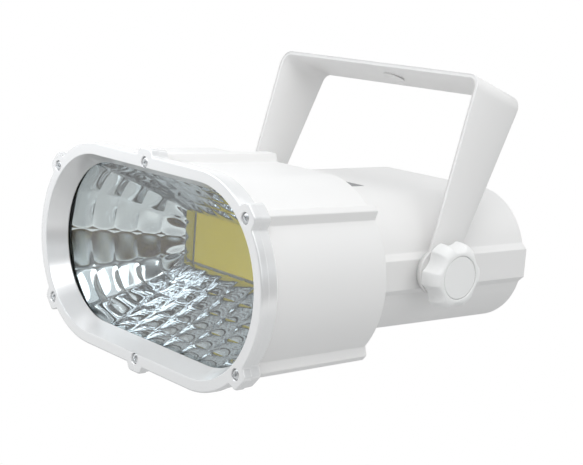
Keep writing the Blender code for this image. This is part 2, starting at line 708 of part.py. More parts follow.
def build_light_engine(lamp):
    """Yellow emitter in its pale frame, on a board, on a thermal pad, on the finned heat sink."""
    bm = bmesh.new()
    inner_x = EMITTER_HALF_X + SEAT
    inner_z = EMITTER_HALF_Z + SEAT
    emitter_end = FRAME_Y + FRAME_HEIGHT
    spots = ((1, -1), (1, 1), (-1, 1), (-1, -1))
    rings = []
    for grow, y in ((0, emitter_end), (FRAME_WIDTH, emitter_end), (FRAME_WIDTH, FRAME_Y), (0, FRAME_Y)):
        rings.append([(side * (inner_x + grow), y, rise * (inner_z + grow)) for side, rise in spots])
    skin(bm, rings, closed=True)
    make_object("led_frame", bm, lamp, PALE_FRAME)

    bm = bmesh.new()
    add_box(
        bm,
        (-EMITTER_HALF_X, emitter_end - EMITTER_HEIGHT, -EMITTER_HALF_Z),
        (EMITTER_HALF_X, emitter_end, EMITTER_HALF_Z),
    )
    make_object("led_phosphor", bm, lamp, PHOSPHOR)

    board_end = BOARD_Y + BOARD_THICKNESS
    bm = bmesh.new()
    add_box(bm, (-BOARD_HALF_X, BOARD_Y, -BOARD_HALF_Z), (BOARD_HALF_X, board_end, BOARD_HALF_Z))
    board = make_object("led_board", bm, lamp, BOARD_WHITE)

    bm = bmesh.new()
    add_box(
        bm,
        (-BOARD_HALF_X, THERMAL_Y, -BOARD_HALF_Z),
        (BOARD_HALF_X, THERMAL_Y + PAD_THICKNESS, BOARD_HALF_Z),
    )
    pad = make_object("thermal_pad", bm, lamp, PAD_GREY)

    bm = bmesh.new()
    add_box(bm, (-BOARD_HALF_X, SINK_Y, -SINK_HALF_Z), (BOARD_HALF_X, SINK_END, SINK_HALF_Z))
    sink = make_object("heat_sink", bm, lamp, ALUMINIUM)
    fins = bmesh.new()
    fin_reach = WINDOW_HALF_X - FIN_MARGIN
    fin_half_z = WINDOW_HALF_Z - FIN_MARGIN / 2
    for number in range(FIN_COUNT):
        x = -fin_reach + 2 * fin_reach * number / (FIN_COUNT - 1)
        low = (x - FIN_THICKNESS / 2, SINK_END - HOUSING_CORNER, -fin_half_z)
        high = (x + FIN_THICKNESS / 2, SINK_END + FIN_LENGTH, fin_half_z)
        add_box(fins, low, high)
    combine(sink, fins, "UNION")

    hole_end = SINK_Y + SINK_PLATE / 2
    board_hole = [(HOLE_R, BOARD_Y - SEAT), (HOLE_R, hole_end + SEAT)]
    sink_hole = [(HOLE_R, SINK_Y - SEAT), (HOLE_R, SINK_END + SEAT)]
    for target in (board, pad, sink):
        holes = bmesh.new()
        for x, z in corners(BOARD_SCREW_X, BOARD_SCREW_Z):
            add_turned(holes, board_hole, (x, 0, z), steps=HOLE_STEPS)
        if target is sink:
            for x, z in corners(SINK_SCREW_X, SINK_SCREW_Z):
                add_turned(holes, sink_hole, (x, 0, z), steps=HOLE_STEPS)
        combine(target, holes, "DIFFERENCE")
    places = [(x, BOARD_Y - SEAT, z) for x, z in corners(BOARD_SCREW_X, BOARD_SCREW_Z)]
    add_screws("led_screw", places, hole_end - BOARD_Y, lamp)
    places = [(x, SINK_Y - SEAT, z) for x, z in corners(SINK_SCREW_X, SINK_SCREW_Z)]
    add_screws("heat_sink_screw", places, SINK_SCREW_LENGTH, lamp)


def body_section(y, radius, pad_x):
    """Points of the rear body's section: round sides, each with a flat pad between two bevels."""
    points = []
    bevel = math.degrees(math.asin((PAD_HALF_Z + PAD_BEVEL) / BODY_R))
    pad_angle = math.degrees(math.asin(PAD_HALF_Z / BODY_R))
    lower = [-90 + (90 - bevel) * step / BODY_SIDE_STEPS for step in range(BODY_SIDE_STEPS + 1)]
    angles = lower + [-pad_angle, pad_angle] + [-angle for angle in reversed(lower)]
    for side in (1, -1):
        for angle in angles:
            x = BODY_HALF + radius * math.cos(math.radians(angle))
            z = radius * math.sin(math.radians(angle))
            if pad_x and abs(angle) == pad_angle:
                x = pad_x
            points.append((side * x, y, side * z))
    return points


def build_rear_body(lamp):
    """Extruded rear body with screw ports and pivot bosses, its front seal, screws and top inlay."""
    bm = bmesh.new()
    rings = [
        body_section(BODY_Y, BODY_R, PAD_X),
        body_section(BODY_END, BODY_R, PAD_X),
        body_section(BODY_END, BODY_INNER_R, 0),
        body_section(BODY_Y, BODY_INNER_R, 0),
    ]
    skin(bm, rings, closed=True)
    body = make_object("rear_body", bm, lamp, WHITE_COAT)

    inner = bmesh.new()
    for x, z in corners(PORT_X, PORT_Z):
        add_turned(inner, [(PORT_R, BODY_Y + SEAT), (PORT_R, PORT_END)], (x, 0, z), steps=BORE_STEPS)
    inner_x = BODY_HALF + BODY_INNER_R
    for side in (1, -1):
        span = [(BOSS_R, side * (inner_x - BOSS_DEPTH)), (BOSS_R, side * (inner_x + BODY_WALL / 2))]
        add_turned(inner, span, (0, PIVOT_Y, PIVOT_Z), axis="X")
    combine(body, inner, "UNION")

    cuts = bmesh.new()
    front_hole = [(HOLE_R, BODY_Y - SEAT), (HOLE_R, BODY_Y + PORT_HOLE_DEPTH)]
    rear_hole = [(HOLE_R, PORT_END - PORT_HOLE_DEPTH), (HOLE_R, BODY_END)]
    for x, z in corners(PORT_X, PORT_Z):
        add_turned(cuts, front_hole, (x, 0, z), steps=HOLE_STEPS)
        add_turned(cuts, rear_hole, (x, 0, z), steps=HOLE_STEPS)
    bore_r = INSERT_R + SEAT
    for side in (1, -1):
        span = [(bore_r, side * (inner_x - 2 * BOSS_DEPTH)), (bore_r, side * (PAD_X + SEAT))]
        add_turned(cuts, span, (0, PIVOT_Y, PIVOT_Z), axis="X")
    add_box(
        cuts,
        (-INLAY_HALF_X - SEAT, INLAY_Y - SEAT, BODY_R - INLAY_DEPTH),
        (INLAY_HALF_X + SEAT, INLAY_Y + INLAY_LENGTH + SEAT, BODY_R + INLAY_DEPTH),
    )
    combine(body, cuts, "DIFFERENCE")

    bm = bmesh.new()
    inlay_z = BODY_R - INLAY_DEPTH + SEAT
    add_box(
        bm,
        (-INLAY_HALF_X, INLAY_Y, inlay_z),
        (INLAY_HALF_X, INLAY_Y + INLAY_LENGTH, inlay_z + INLAY_THICKNESS),
    )
    make_object("top_inlay", bm, lamp, DARK_INLAY)

    bm = bmesh.new()
    outer_r = BODY_R - BODY_SEAL_INSET
    inner_r = outer_r - BODY_SEAL_WIDTH
    low = HOUSING_END + SEAT
    high = BODY_Y - SEAT
    profile = [(inner_r, low), (outer_r, low), (outer_r, high), (inner_r, high)]
    add_obround(bm, BODY_HALF, profile, closed=True)
    make_object("body_gasket", bm, lamp, RUBBER)

    places = [(x, BACK_Y - SEAT, z) for x, z in corners(PORT_X, PORT_Z)]
    add_screws("body_screw", places, HOUSING_BACK + BODY_GAP + BODY_SCREW_LENGTH, lamp)


def build_rear_cap(lamp):
    """Plate that closes the rear body, with its screws and the cable gland."""
    bm = bmesh.new()
    skin(bm, [body_section(y, BODY_INNER_R - SEAT, 0) for y in (CAP_Y, CAP_END)])
    cap = make_object("rear_cap", bm, lamp, WHITE_COAT)
    cuts = bmesh.new()
    for x, z in corners(PORT_X, PORT_Z):
        add_turned(cuts, [(HOLE_R, CAP_Y - SEAT), (HOLE_R, CAP_END + SEAT)], (x, 0, z), steps=HOLE_STEPS)
    bore = GLAND_R + SEAT
    add_turned(cuts, [(bore, CAP_Y - SEAT), (bore, CAP_END + SEAT)], (0, 0, 0))
    combine(cap, cuts, "DIFFERENCE")

    places = [(x, CAP_END + SEAT, z) for x, z in corners(PORT_X, PORT_Z)]
    add_screws("rear_cap_screw", places, CAP_THICKNESS + BODY_SCREW_LENGTH, lamp, axis_sign=-1)

    nut_y = GLAND_Y + GLAND_FLANGE + SEAT
    nut_end = nut_y + NUT_LENGTH
    seat_y = GLAND_Y + GLAND_FLANGE
    thread_end = seat_y + GLAND_REACH_OUT
    seal_r = GLAND_BORE_R + SEAL_WALL / 2
    bm = bmesh.new()
    profile = [
        (GLAND_BORE_R, CAP_Y - GLAND_REACH_IN),
        (GLAND_R, CAP_Y - GLAND_REACH_IN),
        (GLAND_R, GLAND_Y),
        (-GLAND_HEX_R, GLAND_Y),
        (-GLAND_HEX_R, seat_y),
        (GLAND_R, seat_y),
        (GLAND_R, thread_end),
        (seal_r + SEAT, thread_end),
        (seal_r + SEAT, seat_y),
        (GLAND_BORE_R, seat_y),
    ]
    add_turned(bm, profile, (0, 0, 0), closed=True, sides=6)
    make_object("gland_body", bm, lamp, BLACK_PLASTIC)

    bm = bmesh.new()
    locknut_end = CAP_Y - SEAT
    profile = [
        (bore, locknut_end),
        (-LOCKNUT_HEX_R, locknut_end),
        (-LOCKNUT_HEX_R, locknut_end - LOCKNUT_THICKNESS),
        (bore, locknut_end - LOCKNUT_THICKNESS),
    ]
    add_turned(bm, profile, (0, 0, 0), closed=True, sides=6)
    make_object("gland_locknut", bm, lamp, BLACK_PLASTIC)

    bm = bmesh.new()
    cavity_end = thread_end + SEAT
    hex_end = nut_y + NUT_LENGTH / 2
    profile = [
        (bore, nut_y),
        (-GLAND_HEX_R, nut_y),
        (-GLAND_HEX_R, hex_end),
        (bore + SEAL_WALL / 2, cavity_end + SEAL_WALL),
        (NUT_END_R, nut_end - SEAL_WALL / 2),
        (NUT_END_R - SEAL_WALL / 2, nut_end),
        (NUT_EXIT_R, nut_end),
        (seal_r + SEAT, cavity_end + SEAL_WALL),
        (bore, cavity_end),
    ]
    add_turned(bm, profile, (0, 0, 0), closed=True, sides=6)
    make_object("gland_nut", bm, lamp, BLACK_PLASTIC)

    bm = bmesh.new()
    seal_end = cavity_end + SEAL_WALL / 2
    inner = seal_r - SEAL_WALL
    profile = [(inner, seat_y + SEAT), (seal_r, seat_y + SEAT), (seal_r, seal_end), (inner, seal_end)]
    add_turned(bm, profile, (0, 0, 0), closed=True)
    make_object("gland_seal", bm, lamp, RUBBER)


def build_driver(lamp):
    """Driver case on the body's floor, and the mains terminal block behind it."""
    floor_z = -BODY_INNER_R + SEAT
    bm = bmesh.new()
    low = (-DRIVER_HALF_X, DRIVER_Y, floor_z)
    add_box(bm, low, (DRIVER_HALF_X, DRIVER_END, floor_z + DRIVER_HEIGHT))
    driver = make_object("driver_case", bm, lamp, ALUMINIUM)
    bevel = driver.modifiers.new("Edges", "BEVEL")
    bevel.width = DRIVER_EDGE
    bevel.segments = 2

    bm = bmesh.new()
    top = floor_z + TERMINAL_HEIGHT
    add_box(bm, (-TERMINAL_HALF_X, TERMINAL_Y, floor_z), (TERMINAL_HALF_X, TERMINAL_END, top))
    block = make_object("terminal_block", bm, lamp, BOARD_WHITE)
    wells = bmesh.new()
    pitch = 2 * TERMINAL_HALF_X / TERMINAL_WAYS
    for way in range(TERMINAL_WAYS):
        x = (way - (TERMINAL_WAYS - 1) / 2) * pitch
        place = Vector((x, (TERMINAL_Y + TERMINAL_END) / 2, top))
        tool = bmesh.ops.create_cone(
            wells,
            cap_ends=True,
            segments=BORE_STEPS,
            radius1=TERMINAL_WELL_R,
            radius2=TERMINAL_WELL_R,
            depth=2 * TERMINAL_WELL_DEPTH,
        )
        bmesh.ops.translate(wells, verts=tool["verts"], vec=place)
    combine(block, wells, "DIFFERENCE")


def knob_reach(angle):
    """Radius of the lobed outline at an angle: round lobes, each pair parted by a scallop."""
    pitch = 2 * math.pi / KNOB_LOBES
    lobe = math.radians(KNOB_LOBE_ANGLE)
    from_scallop = (angle - lobe) % pitch - pitch / 2
    sideways = SCALLOP_CENTRE_R * math.sin(from_scallop)
    if abs(sideways) >= SCALLOP_R:
        return KNOB_R
    scallop = SCALLOP_CENTRE_R * math.cos(from_scallop) - math.sqrt(SCALLOP_R**2 - sideways**2)
    return min(KNOB_R, scallop)


def knob_mesh(side):
    """Return the knob's bmesh: collar, lobed head that domes to a round rim, cap pocket, stud bore.

    Each row is (round radius, x, share of the lobed outline).
    """
    crown_r = KNOB_CAP_R + KNOB_RIM
    edge_share = 1 - KNOB_EDGE / (KNOB_R - crown_r)
    bore_r = STUD_R + SEAT
    plan = [
        (bore_r, STUD_OUT_X + SEAT, 0),
        (bore_r, KNOB_X, 0),
        (KNOB_COLLAR_R - KNOB_EDGE, KNOB_X, 0),
        (KNOB_COLLAR_R, KNOB_X + KNOB_EDGE, 0),
        (KNOB_COLLAR_R, LOBE_X, 0),
        (crown_r, LOBE_X, edge_share),
        (crown_r, LOBE_X + KNOB_EDGE, 1),
    ]
    for step in range(KNOB_DOME_STEPS + 1):
        turn = math.pi / 2 * step / KNOB_DOME_STEPS
        plan.append((crown_r, LOBE_OUT_X + KNOB_DOME * math.sin(turn), math.cos(turn)))
    plan.append((KNOB_CAP_R + SEAT, CROWN_X, 0))
    plan.append((KNOB_CAP_R + SEAT, POCKET_X, 0))
    rings = []
    for size, x, share in plan:
        ring = []
        for step in range(KNOB_STEPS):
            angle = 2 * math.pi * step / KNOB_STEPS
            reach = size + (knob_reach(angle) - size) * share
            ring.append((side * x, -reach * math.sin(angle), reach * math.cos(angle)))
        rings.append(ring)
    bm = bmesh.new()
    skin(bm, rings)
    return bm


def washer(name, inner_r, outer_r, low, high, parent, finish):
    """Add a flat ring between two places along x, round its parent's x axis."""
    bm = bmesh.new()
    profile = [(inner_r, low), (outer_r, low), (outer_r, high), (inner_r, high)]
    add_turned(bm, profile, (0, 0, 0), axis="X", closed=True)
    make_object(name, bm, parent, finish)


def build_pivot(pivot):
    """Both pivots: insert, friction washer, clamp washer, and the knob with its stud and cap."""
    for side, word in ((1, "right"), (-1, "left")):
        bore = STUD_R + STUD_CLEARANCE
        washer(f"pivot_insert_{word}", bore, INSERT_R, side * INSERT_X, side * PAD_X, pivot, BRASS)
        rim = FRICTION_X + FRICTION_THICKNESS
        washer(f"friction_washer_{word}", bore, FRICTION_R, side * FRICTION_X, side * rim, pivot, RUBBER)
        rim = CLAMP_X + CLAMP_THICKNESS
        washer(f"clamp_washer_{word}", bore, CLAMP_R, side * CLAMP_X, side * rim, pivot, STEEL)
        make_object(f"knob_{word}", knob_mesh(side), pivot, WHITE_PLASTIC)
        bm = bmesh.new()
        stud = [(STUD_R, side * INSERT_X), (STUD_R, side * STUD_OUT_X)]
        add_turned(bm, stud, (0, 0, 0), axis="X")
        make_object(f"knob_stud_{word}", bm, pivot, STEEL)
        bm = bmesh.new()
        low = POCKET_X + SEAT
        high = low + KNOB_CAP_THICKNESS
        profile = [(KNOB_CAP_R, side * low), (KNOB_CAP_R, side * high)]
        add_turned(bm, profile, (0, 0, 0), axis="X", steps=KNOB_STEPS // 2)
        make_object(f"knob_cap_{word}", bm, pivot, WHITE_PLASTIC)


def yoke_half_width(rise):
    """Half width of an arm at a height above the pivot: a round end that runs into a tapered arm."""
    arm_top = YOKE_RISE - YOKE_BEND_R
    taper = YOKE_NECK_HALF + (YOKE_BAR_HALF - YOKE_NECK_HALF) * min(rise / arm_top, 1)
    end = math.sqrt(max(YOKE_END_R**2 - rise**2, 0))
    if rise < 0:
        return end
    blend = YOKE_PIVOT_CLEARANCE
    return (end + taper + math.sqrt((end - taper) ** 2 + blend**2)) / 2


def yoke_stations():
    """Return the right half of the strip as (outer x, outer rise, inner x, inner rise, half width)."""
    angles = range(YOKE_END_STEP, YOKE_END_ANGLE + 1, YOKE_END_STEP)
    rises = [-YOKE_END_R * math.cos(math.radians(angle)) for angle in angles]
    rises += [YOKE_END_R * share for share in YOKE_NECK_SHARES]
    stations = [(ARM_OUT_X, rise, ARM_X, rise, yoke_half_width(rise)) for rise in rises]
    arm_top = YOKE_RISE - YOKE_BEND_R
    centre_x = ARM_OUT_X - YOKE_BEND_R
    inner_r = YOKE_BEND_R - YOKE_THICKNESS
    for step in range(YOKE_BEND_STEPS + 1):
        angle = math.radians(90 * step / YOKE_BEND_STEPS)
        outer = (centre_x + YOKE_BEND_R * math.cos(angle), arm_top + YOKE_BEND_R * math.sin(angle))
        inner = (centre_x + inner_r * math.cos(angle), arm_top + inner_r * math.sin(angle))
        stations.append((*outer, *inner, YOKE_BAR_HALF))
    return stations


def build_yoke(pivot_place):
    """U yoke bent from one tapered strip, with a pivot hole in each arm and one hole in its crossbar."""
    right = yoke_stations()
    left = [(-out_x, out, -in_x, rise, half) for out_x, out, in_x, rise, half in reversed(right)]
    lean = Matrix.Rotation(math.radians(-YOKE_LEAN), 4, "X")
    rings = []
    for out_x, out_rise, in_x, in_rise, half in right + left:
        corner_points = (
            (out_x, -half, out_rise),
            (out_x, half, out_rise),
            (in_x, half, in_rise),
            (in_x, -half, in_rise),
        )
        rings.append([pivot_place + lean @ Vector(point) for point in corner_points])
    bm = bmesh.new()
    skin(bm, rings)
    yoke = make_object("yoke", bm, None, WHITE_COAT)

    holes = bmesh.new()
    pivot_r = STUD_R + YOKE_PIVOT_CLEARANCE
    for side in (1, -1):
        span = [(pivot_r, side * (ARM_X - SEAT)), (pivot_r, side * (ARM_OUT_X + SEAT))]
        add_turned(holes, span, pivot_place, axis="X")
    bar = bmesh.ops.create_cone(
        holes,
        cap_ends=True,
        segments=TURN_STEPS,
        radius1=YOKE_HOLE_R,
        radius2=YOKE_HOLE_R,
        depth=4 * YOKE_THICKNESS,
    )
    bmesh.ops.transform(holes, matrix=lean, verts=bar["verts"])
    combine(yoke, holes, "DIFFERENCE")


def main():
    """Build the spotlight."""
    clear_scene()
    lean = math.radians(YOKE_LEAN)
    pivot_place = Vector((0, -YOKE_RISE * math.sin(lean), -YOKE_RISE * math.cos(lean)))
    pivot = make_empty("head_pivot", pivot_place)
    lamp = make_empty("lamp_frame", (0, -PIVOT_Y, -PIVOT_Z), pivot)
    build_bezel(lamp)
    build_housing(lamp)
    build_glass(lamp)
    build_reflector(lamp)
    build_light_engine(lamp)
    build_rear_body(lamp)
    build_rear_cap(lamp)
    build_driver(lamp)
    build_pivot(pivot)
    build_yoke(pivot_place)


main()
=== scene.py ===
"""Looks of a hanging display spotlight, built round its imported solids.

Sizes are in millimetres and angles in degrees. Most pieces are drawn in the lamp's own frame: x to the
right, y backwards from the front of the bezel, z up, with the optical axis along y. A round-ended outline,
here called an obround, is two half circles on centres at x = +half and x = -half, joined by straight lines.
"""

from __future__ import annotations

import json
import logging
import math
from collections.abc import Callable, Sequence
from dataclasses import dataclass
from enum import Enum

import bmesh
import bpy
import numpy as np
from mathutils import Matrix, Vector

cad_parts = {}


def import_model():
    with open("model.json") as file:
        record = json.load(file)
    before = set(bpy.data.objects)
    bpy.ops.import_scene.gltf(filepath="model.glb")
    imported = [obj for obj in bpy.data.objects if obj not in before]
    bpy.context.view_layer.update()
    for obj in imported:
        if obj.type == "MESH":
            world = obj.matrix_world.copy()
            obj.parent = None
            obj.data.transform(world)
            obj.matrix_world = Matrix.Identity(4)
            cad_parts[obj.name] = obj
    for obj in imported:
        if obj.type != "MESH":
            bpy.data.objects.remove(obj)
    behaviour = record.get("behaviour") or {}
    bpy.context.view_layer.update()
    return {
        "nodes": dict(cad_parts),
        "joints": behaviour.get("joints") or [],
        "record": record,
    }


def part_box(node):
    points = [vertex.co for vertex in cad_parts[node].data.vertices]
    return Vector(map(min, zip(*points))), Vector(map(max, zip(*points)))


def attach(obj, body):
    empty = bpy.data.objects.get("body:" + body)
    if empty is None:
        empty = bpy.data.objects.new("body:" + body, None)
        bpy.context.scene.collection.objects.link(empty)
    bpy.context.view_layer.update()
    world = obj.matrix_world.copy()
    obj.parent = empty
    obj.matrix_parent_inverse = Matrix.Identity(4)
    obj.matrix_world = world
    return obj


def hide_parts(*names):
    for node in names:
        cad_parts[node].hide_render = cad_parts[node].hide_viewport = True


MM = 0.001
LOG = logging.getLogger("spotlight")

Points = np.ndarray
Socket = bpy.types.NodeSocket
Corner = tuple[float, ...]


class Body(Enum):
    """The moving bodies that pieces ride on."""

    YOKE = "yoke"
    HEAD = "head"
    RIGHT_CLAMP = "right_clamp"
    RIGHT_KNOB = "right_knob"
    LEFT_CLAMP = "left_clamp"
    LEFT_KNOB = "left_knob"


class Slot(Enum):
    """The record's material slots, one passed with each new piece."""

    WHITE_COAT = "white_coat"
    WHITE_PLASTIC = "white_plastic"
    STEEL = "steel"
    BRIGHT_SHEET = "bright_sheet"
    RUBBER = "rubber"
    BLACK_PLASTIC = "black_plastic"
    GLASS = "glass"
    PHOSPHOR = "phosphor"
    PALE_FRAME = "pale_frame"
    DARK_INLAY = "dark_inlay"


def linear(colour: str) -> tuple[float, float, float, float]:
    """Turn an sRGB hex colour into linear red, green, blue and an alpha of 1.

    Args:
        colour: Six hex digits, with or without a leading hash.

    Returns:
        The linear colour, as a shader socket takes it.
    """
    digits = colour.lstrip("#")
    parts = [int(digits[start : start + 2], 16) / 255 for start in (0, 2, 4)]
    red, green, blue = [
        part / 12.92 if part <= 0.04045 else ((part + 0.055) / 1.055) ** 2.4 for part in parts
    ]
    return red, green, blue, 1.0


WHITE = (1.0, 1.0, 1.0, 1.0)


def add_node(
    tree: bpy.types.NodeTree,
    kind: str,
    settings: dict[str, object] | None = None,
    inputs: dict[str | int, object] | None = None,
    links: dict[str | int, Socket] | None = None,
) -> bpy.types.Node:
    """Add a shader node.

    Args:
        tree: Node tree that the node goes into.
        kind: Blender's class name of the node.
        settings: The node's own properties, by name.
        inputs: Values for its input sockets, by name or number.
        links: Output sockets that feed its input sockets, by the input's name or number.

    Returns:
        The new node.
    """
    node = tree.nodes.new(kind)
    for name, value in (settings or {}).items():
        setattr(node, name, value)
    for name, value in (inputs or {}).items():
        node.inputs[name].default_value = value
    for name, socket in (links or {}).items():
        tree.links.new(socket, node.inputs[name])
    return node


def math_node(tree: bpy.types.NodeTree, operation: str, first: Socket, second: Socket) -> Socket:
    """Combine two values with a Math node, such as MULTIPLY or MAXIMUM, and return its output."""
    node = add_node(tree, "ShaderNodeMath", {"operation": operation}, links={0: first, 1: second})
    return node.outputs["Value"]


def mix_shaders(tree: bpy.types.NodeTree, share: Socket, first: Socket, second: Socket) -> Socket:
    """Mix two shaders, the first where the share is 0 and the second where it is 1."""
    return add_node(tree, "ShaderNodeMixShader", links={0: share, 1: first, 2: second}).outputs["Shader"]


def map_range(
    tree: bpy.types.NodeTree,
    value: Socket,
    before: tuple[float, float],
    after: tuple[float, float] = (0.0, 1.0),
    smooth: bool = False,
) -> Socket:
    """Map a value from one range to another and clamp it there.

    Args:
        tree: Node tree that the node goes into.
        value: The value.
        before: Range that it comes from.
        after: Range that it is mapped to.
        smooth: Whether it eases in and out instead of running straight.

    Returns:
        The mapped value.
    """
    node = add_node(
        tree,
        "ShaderNodeMapRange",
        {"interpolation_type": "SMOOTHSTEP" if smooth else "LINEAR"},
        {"From Min": before[0], "From Max": before[1], "To Min": after[0], "To Max": after[1]},
        {"Value": value},
    )
    return node.outputs["Result"]


def ray_kinds(tree: bpy.types.NodeTree) -> tuple[Socket, Socket]:
    """Return a value that is 1 for camera rays, and one that is 1 off a mirror or through glass."""
    path = add_node(tree, "ShaderNodeLightPath").outputs
    mirrored = math_node(tree, "MAXIMUM", path["Is Glossy Ray"], path["Is Transmission Ray"])
    return path["Is Camera Ray"], mirrored


def put_in_scene(name: str, data: bpy.types.ID) -> bpy.types.Object:
    """Make an object of a mesh, a light or a camera, link it to the scene and return it."""
    obj = bpy.data.objects.new(name, data)
    bpy.context.scene.collection.objects.link(obj)
    return obj


@dataclass(frozen=True)
class Finish:
    """One material: a Principled shader with a procedural grain in its colour, roughness and bump.

    The grain is noise in Object coordinates. Its size is the real distance between its bumps.
    """

    name: str
    colour: str
    roughness: float
    metallic: float = 0.0
    grain_mm: float = 1.5
    bump_mm: float = 0.01
    shade: float = 0.02
    rough_spread: float = 0.05
    coat: float = 0.0
    coat_roughness: float = 0.1
    specular: float = 0.5
    # glow: strength of a painted glow, an emission of the finish's colour on a part that is no lamp
    glow: float = 0.0
    stretch: tuple[float, float, float] = (1.0, 1.0, 1.0)

    def make(self) -> bpy.types.Material:
        """Build the material and return it."""
        material = bpy.data.materials.new(self.name)
        material.use_nodes = True
        tree = material.node_tree
        shader = tree.nodes["Principled BSDF"]
        shader.inputs["Metallic"].default_value = self.metallic
        if not self.metallic:
            shader.inputs["Specular IOR Level"].default_value = self.specular
        if self.coat:
            shader.inputs["Coat Weight"].default_value = self.coat
            shader.inputs["Coat Roughness"].default_value = self.coat_roughness
        # Painted glow: the finish emits its own colour though the part is no lamp
        if self.glow:
            shader.inputs["Emission Color"].default_value = linear(self.colour)
            shader.inputs["Emission Strength"].default_value = self.glow
        place = add_node(tree, "ShaderNodeTexCoord").outputs["Object"]
        spread = add_node(
            tree, "ShaderNodeMapping", inputs={"Scale": self.stretch}, links={"Vector": place}
        ).outputs["Vector"]
        fine = self.grain(tree, spread, self.grain_mm, 3.0)
        broad = self.grain(tree, place, 40 * self.grain_mm, 2.0)
        self.dress_colour(tree, shader, broad)
        spread_ends = (self.roughness - self.rough_spread, self.roughness + self.rough_spread)
        tree.links.new(map_range(tree, fine, (0.0, 1.0), spread_ends), shader.inputs["Roughness"])
        bump = add_node(
            tree, "ShaderNodeBump", inputs={"Distance": self.bump_mm * MM}, links={"Height": fine}
        )
        tree.links.new(bump.outputs["Normal"], shader.inputs["Normal"])
        return material

    def dress_colour(self, tree: bpy.types.NodeTree, shader: bpy.types.Node, broad: Socket) -> None:
        """Let the colour drift a little, lighter and darker, with the broad noise.

        Args:
            tree: The material's node tree.
            shader: Its Principled shader.
            broad: Output of the broad noise.
        """
        base = linear(self.colour)
        low = tuple(channel * (1 - self.shade) for channel in base[:3]) + (1.0,)
        high = tuple(min(channel * (1 + self.shade), 1.0) for channel in base[:3]) + (1.0,)
        mix = add_node(
            tree, "ShaderNodeMix", {"data_type": "RGBA"}, {"A": low, "B": high}, {"Factor": broad}
        )
        tree.links.new(mix.outputs["Result"], shader.inputs["Base Color"])

    @staticmethod
    def grain(tree: bpy.types.NodeTree, place: Socket, size_mm: float, detail: float) -> Socket:
        """Add noise of a real size.

        Args:
            tree: The material's node tree.
            place: Output that gives the place in metres.
            size_mm: Distance between the noise's bumps.
            detail: Number of finer octaves.

        Returns:
            The noise's value, from 0 to 1.
        """
        node = add_node(
            tree,
            "ShaderNodeTexNoise",
            inputs={"Scale": 1 / (size_mm * MM), "Detail": detail, "Roughness": 0.5},
            links={"Vector": place},
        )
        return node.outputs["Fac"]


@dataclass(frozen=True)
class GlassFinish(Finish):
    """Clear toughened glass: smooth, with a faint green body colour."""

    def make(self) -> bpy.types.Material:
        """Build the material and return it."""
        material = super().make()
        shader = material.node_tree.nodes["Principled BSDF"]
        shader.inputs["Transmission Weight"].default_value = 1.0
        shader.inputs["IOR"].default_value = 1.5
        return material


# Electrostatic powder coat on die-cast aluminium: satin white with a very fine orange peel
POWDER_COAT = Finish(
    "powder_coat_white", "#ECEBEA", 0.42, grain_mm=1.3, bump_mm=0.006, shade=0.008, rough_spread=0.04
)
# Satin silver-white enamel on the die-cast bezel: part mirror and part white, so it shows its surroundings
BEZEL_ENAMEL = Finish(
    "satin_silver_enamel",
    "#EEEEEE",
    0.24,
    metallic=0.3,
    grain_mm=0.9,
    bump_mm=0.002,
    shade=0.006,
    rough_spread=0.03,
)
# The same coat on bent steel strip, a little paler and smoother
STRIP_COAT = Finish(
    "powder_coat_strip", "#EDECEB", 0.40, grain_mm=1.6, bump_mm=0.005, shade=0.008, rough_spread=0.04
)
# Moulded ABS in a satin white, smoother than the coat
KNOB_PLASTIC = Finish(
    "moulded_abs_white", "#F0F0EF", 0.33, grain_mm=1.0, bump_mm=0.003, shade=0.01, rough_spread=0.03
)
# Bright anodised aluminium sheet: a mirror with the faint waviness of pressing
BRIGHT_SHEET = Finish(
    "bright_anodised_sheet",
    "#D2D6DA",
    0.06,
    metallic=1.0,
    grain_mm=4.0,
    bump_mm=0.02,
    shade=0.02,
    rough_spread=0.02,
)
# Zinc-plated steel of small screws and washers, drawn with slightly coarse grain so that it shows
ZINC_STEEL = Finish(
    "zinc_plated_steel",
    "#E6E8E9",
    0.34,
    metallic=1.0,
    grain_mm=0.5,
    bump_mm=0.004,
    shade=0.05,
    rough_spread=0.08,
)
# Turned brass of the threaded inserts
TURNED_BRASS = Finish(
    "turned_brass",
    "#C9A95E",
    0.3,
    metallic=1.0,
    grain_mm=0.4,
    bump_mm=0.004,
    shade=0.04,
    stretch=(0.05, 1.0, 1.0),
)
# Plain extruded aluminium of the heat sink and the driver's case, with lines along its length
EXTRUDED_ALUMINIUM = Finish(
    "extruded_aluminium",
    "#BFC2C5",
    0.38,
    metallic=1.0,
    grain_mm=0.6,
    bump_mm=0.008,
    shade=0.04,
    stretch=(1.0, 0.04, 1.0),
)
# Moulded silicone rubber of the seals: matt and nearly black
SILICONE = Finish(
    "silicone_rubber_black", "#1B1B1C", 0.7, grain_mm=0.8, bump_mm=0.01, shade=0.1, specular=0.3
)
# Moulded silicone channel round the front glass: dark grey
GREY_SILICONE = Finish(
    "silicone_rubber_grey", "#606366", 0.6, grain_mm=0.8, bump_mm=0.01, shade=0.06, specular=0.3
)
# White moulded silicone of the friction rings between yoke and body
PALE_SILICONE = Finish(
    "silicone_rubber_white", "#D4D5D4", 0.6, grain_mm=0.8, bump_mm=0.008, shade=0.02, specular=0.3
)
# Moulded nylon of the cable gland: dark, fine-spark texture
NYLON = Finish("moulded_nylon_black", "#232325", 0.5, grain_mm=0.5, bump_mm=0.012, shade=0.08)
# Phosphor in clear silicone over the emitter: deep lemon yellow, slightly uneven, with a faint painted glow,
# an emission of its own colour though the emitter is unlit, so it looks a little brighter than a pigment
# would
PHOSPHOR = Finish(
    "phosphor_gel_yellow", "#EAD547", 0.35, grain_mm=0.9, bump_mm=0.01, shade=0.05, coat=0.3, glow=0.22
)
# White resin dam round the phosphor
RESIN_DAM = Finish("white_resin_dam", "#C9C9C4", 0.5, grain_mm=0.8, bump_mm=0.01, shade=0.04)
